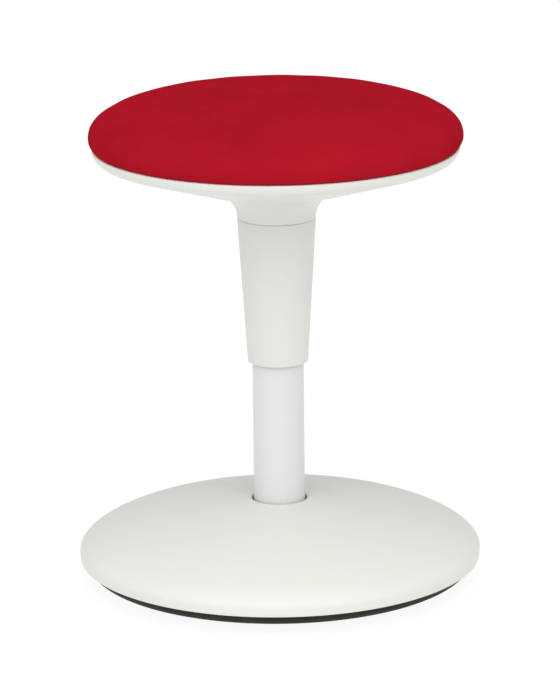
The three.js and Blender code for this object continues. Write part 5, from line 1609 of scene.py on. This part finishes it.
class STOOL_OT_build_lever(bpy.types.Operator):
    """Models the bent release lever with the boss on its pivot"""

    bl_idname = "stool.build_lever"
    bl_label = "Release lever"

    def execute(self, context):
        size = context.scene.stool_lever
        corners = lever_corners(context.scene)
        path = [corners[0]]
        bend_steps = 8
        for before, corner, after in zip(corners, corners[1:], corners[2:]):
            into = corner + (before - corner).normalized() * size.bend
            out = corner + (after - corner).normalized() * size.bend
            for i in range(bend_steps + 1):
                t = i / bend_steps
                path.append(into * (1 - t) ** 2 + corner * 2 * t * (1 - t) + out * t * t)
        path.append(corners[-1])
        pick_only()
        bpy.ops.curve.primitive_bezier_curve_add()
        lever = fresh("release_bar")
        lever.data.splines.clear()
        spline = lever.data.splines.new("POLY")
        spline.points.add(len(path) - 1)
        for point, place in zip(spline.points, path):
            point.co = (*place, 1.0)
        lever.data.bevel_depth = size.bar_radius
        lever.data.bevel_resolution = 6
        lever.data.use_fill_caps = True
        bpy.ops.object.convert(target="MESH")
        lever = fresh("release_bar")
        bpy.ops.object.mode_set(mode="EDIT")
        bpy.ops.mesh.select_all(action="SELECT")
        bpy.ops.mesh.remove_doubles(threshold=WELD)
        bpy.ops.mesh.normals_make_consistent(inside=False)
        bpy.ops.object.mode_set(mode="OBJECT")
        boss = self.cross_bar("boss", size.boss_radius, size.boss_width)
        combined(lever, boss, "UNION")
        bore = self.cross_bar("bore", size.pin_radius + GAP, size.boss_width + 2 * OVERRUN)
        combined(lever, bore, "DIFFERENCE")
        softened(lever, 0.4 * MM)
        settled(lever, "release_lever", "black_steel", "release_lever")
        return {"FINISHED"}

    def cross_bar(self, name, radius, width):
        """A round bar along X on the lever's pivot."""
        pick_only()
        bpy.ops.mesh.primitive_cylinder_add(vertices=36, radius=radius, depth=width)
        return placed(fresh(name), PIVOT, (0.0, QUARTER, 0.0))


class STOOL_OT_build_grip(bpy.types.Operator):
    """Models the grip: a rounded paddle with finger grooves and a bore for the bar"""

    bl_idname = "stool.build_grip"
    bl_label = "Lever grip"

    def execute(self, context):
        size = context.scene.stool_lever
        pick_only()
        bpy.ops.mesh.primitive_cube_add(size=1.0)
        grip = fresh("lever_paddle")
        grip.scale = (size.grip_width, size.grip_length, size.grip_thickness)
        placed(grip, (0.0, size.grip_length / 2, 0.0))
        select_edges(grip, lambda a, b: abs(a.z - b.z) > size.grip_thickness / 2)
        bpy.ops.mesh.bevel(offset=size.grip_corner, segments=10, affect="EDGES")
        pick_only(grip)
        softened(grip, size.grip_round, 5)
        grooves = 5
        groove_radius = 0.9 * MM
        for side in (-1, 1):
            for i in range(grooves):
                pick_only()
                bpy.ops.mesh.primitive_cylinder_add(
                    vertices=20, radius=groove_radius, depth=size.grip_width / 2,
                )
                y = size.grip_length - 2.2 * size.grip_round - (i + 0.5) * size.rib_pitch
                z = side * (size.grip_thickness / 2 + groove_radius / 3)
                combined(grip, placed(fresh("groove"), (0.0, y, z), (0.0, QUARTER, 0.0)), "DIFFERENCE")
        pick_only()
        depth = size.grip_overlap + GAP + OVERRUN
        bpy.ops.mesh.primitive_cylinder_add(vertices=36, radius=size.bar_radius + GAP, depth=depth)
        middle = (0.0, depth / 2 - OVERRUN, 0.0)
        combined(grip, placed(fresh("bore"), middle, (QUARTER, 0.0, 0.0)), "DIFFERENCE")
        drop, end = lever_corners(context.scene)[2:]
        along = (end - drop).normalized()
        tilt = math.atan2(along.z, along.y)
        placed(grip, end - along * size.grip_overlap, (tilt, 0.0, 0.0))
        settled(grip, "release_lever", "black_moulding", "lever_grip")
        return {"FINISHED"}


def lever_corners(scene):
    """Corners of the lever's bar, from over the valve pin out to its end below the bowl."""
    seat, size = scene.stool_seat, scene.stool_lever
    drop_y = PIVOT.y + size.drop_reach
    end_y = PIVOT.y + size.end_reach
    return [
        Vector((0.0, -size.foot, PIVOT.z)),
        Vector((0.0, PIVOT.y + size.knee_reach, PIVOT.z)),
        Vector((0.0, drop_y, bowl_height(seat, drop_y) - size.drop_clearance)),
        Vector((0.0, end_y, bowl_height(seat, end_y) - size.end_clearance)),
    ]


class STOOL_OT_finish_hidden_parts(bpy.types.Operator):
    """Gives every CAD part that keeps its shape its real material"""

    bl_idname = "stool.finish_hidden_parts"
    bl_label = "Inner parts"

    def execute(self, context):
        for name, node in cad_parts.items():
            slot = node.data.materials[0].name.split(".")[0]
            if slot not in FINISHES:
                raise RuntimeError(f"{name} has no finish for {slot}")
            node.data.materials[0] = finish(slot)
        return {"FINISHED"}


class STOOL_PT_parts(bpy.types.Panel):
    """Lists the stool's pieces in the order in which they are built"""

    bl_label = "Wobble stool"
    bl_idname = "STOOL_PT_parts"
    bl_space_type = "VIEW_3D"
    bl_region_type = "UI"
    bl_category = "Stool"

    def draw(self, context):
        for operator in OPERATORS:
            self.layout.operator(operator.bl_idname)
        for group in GROUPS:
            box = self.layout.box()
            settings = getattr(context.scene, group)
            for key in settings.bl_rna.properties.keys():
                if key not in ("name", "rna_type"):
                    box.prop(settings, key)


GROUPS = {
    "stool_base": StoolBaseSizes,
    "stool_seat": StoolSeatSizes,
    "stool_lever": StoolLeverSizes,
    "stool_colours": StoolColours,
    "stool_stage": StoolStage,
}
OPERATORS = (
    STOOL_OT_build_stage,
    STOOL_OT_build_sole,
    STOOL_OT_build_cover,
    STOOL_OT_build_tube,
    STOOL_OT_build_sleeve,
    STOOL_OT_build_shell,
    STOOL_OT_build_shell_screws,
    STOOL_OT_build_pad,
    STOOL_OT_build_lever,
    STOOL_OT_build_grip,
    STOOL_OT_finish_hidden_parts,
)


def register():
    """Adds the classes and their settings."""
    for kind in (*GROUPS.values(), *OPERATORS, STOOL_PT_parts):
        bpy.utils.register_class(kind)
    for name, kind in GROUPS.items():
        setattr(bpy.types.Scene, name, bpy.props.PointerProperty(type=kind))


def unregister():
    """Takes them away again."""
    for name in GROUPS:
        delattr(bpy.types.Scene, name)
    for kind in (STOOL_PT_parts, *reversed(OPERATORS), *GROUPS.values()):
        bpy.utils.unregister_class(kind)


def main():
    """Builds the stool piece by piece."""
    register()
    bpy.ops.stool.build_stage()
    bpy.ops.stool.build_sole()
    bpy.ops.stool.build_cover()
    bpy.ops.stool.build_tube()
    bpy.ops.stool.build_sleeve()
    bpy.ops.stool.build_shell()
    bpy.ops.stool.build_shell_screws()
    bpy.ops.stool.build_pad()
    bpy.ops.stool.build_lever()
    bpy.ops.stool.build_grip()
    bpy.ops.stool.finish_hidden_parts()


if __name__ == "__main__":
    main()
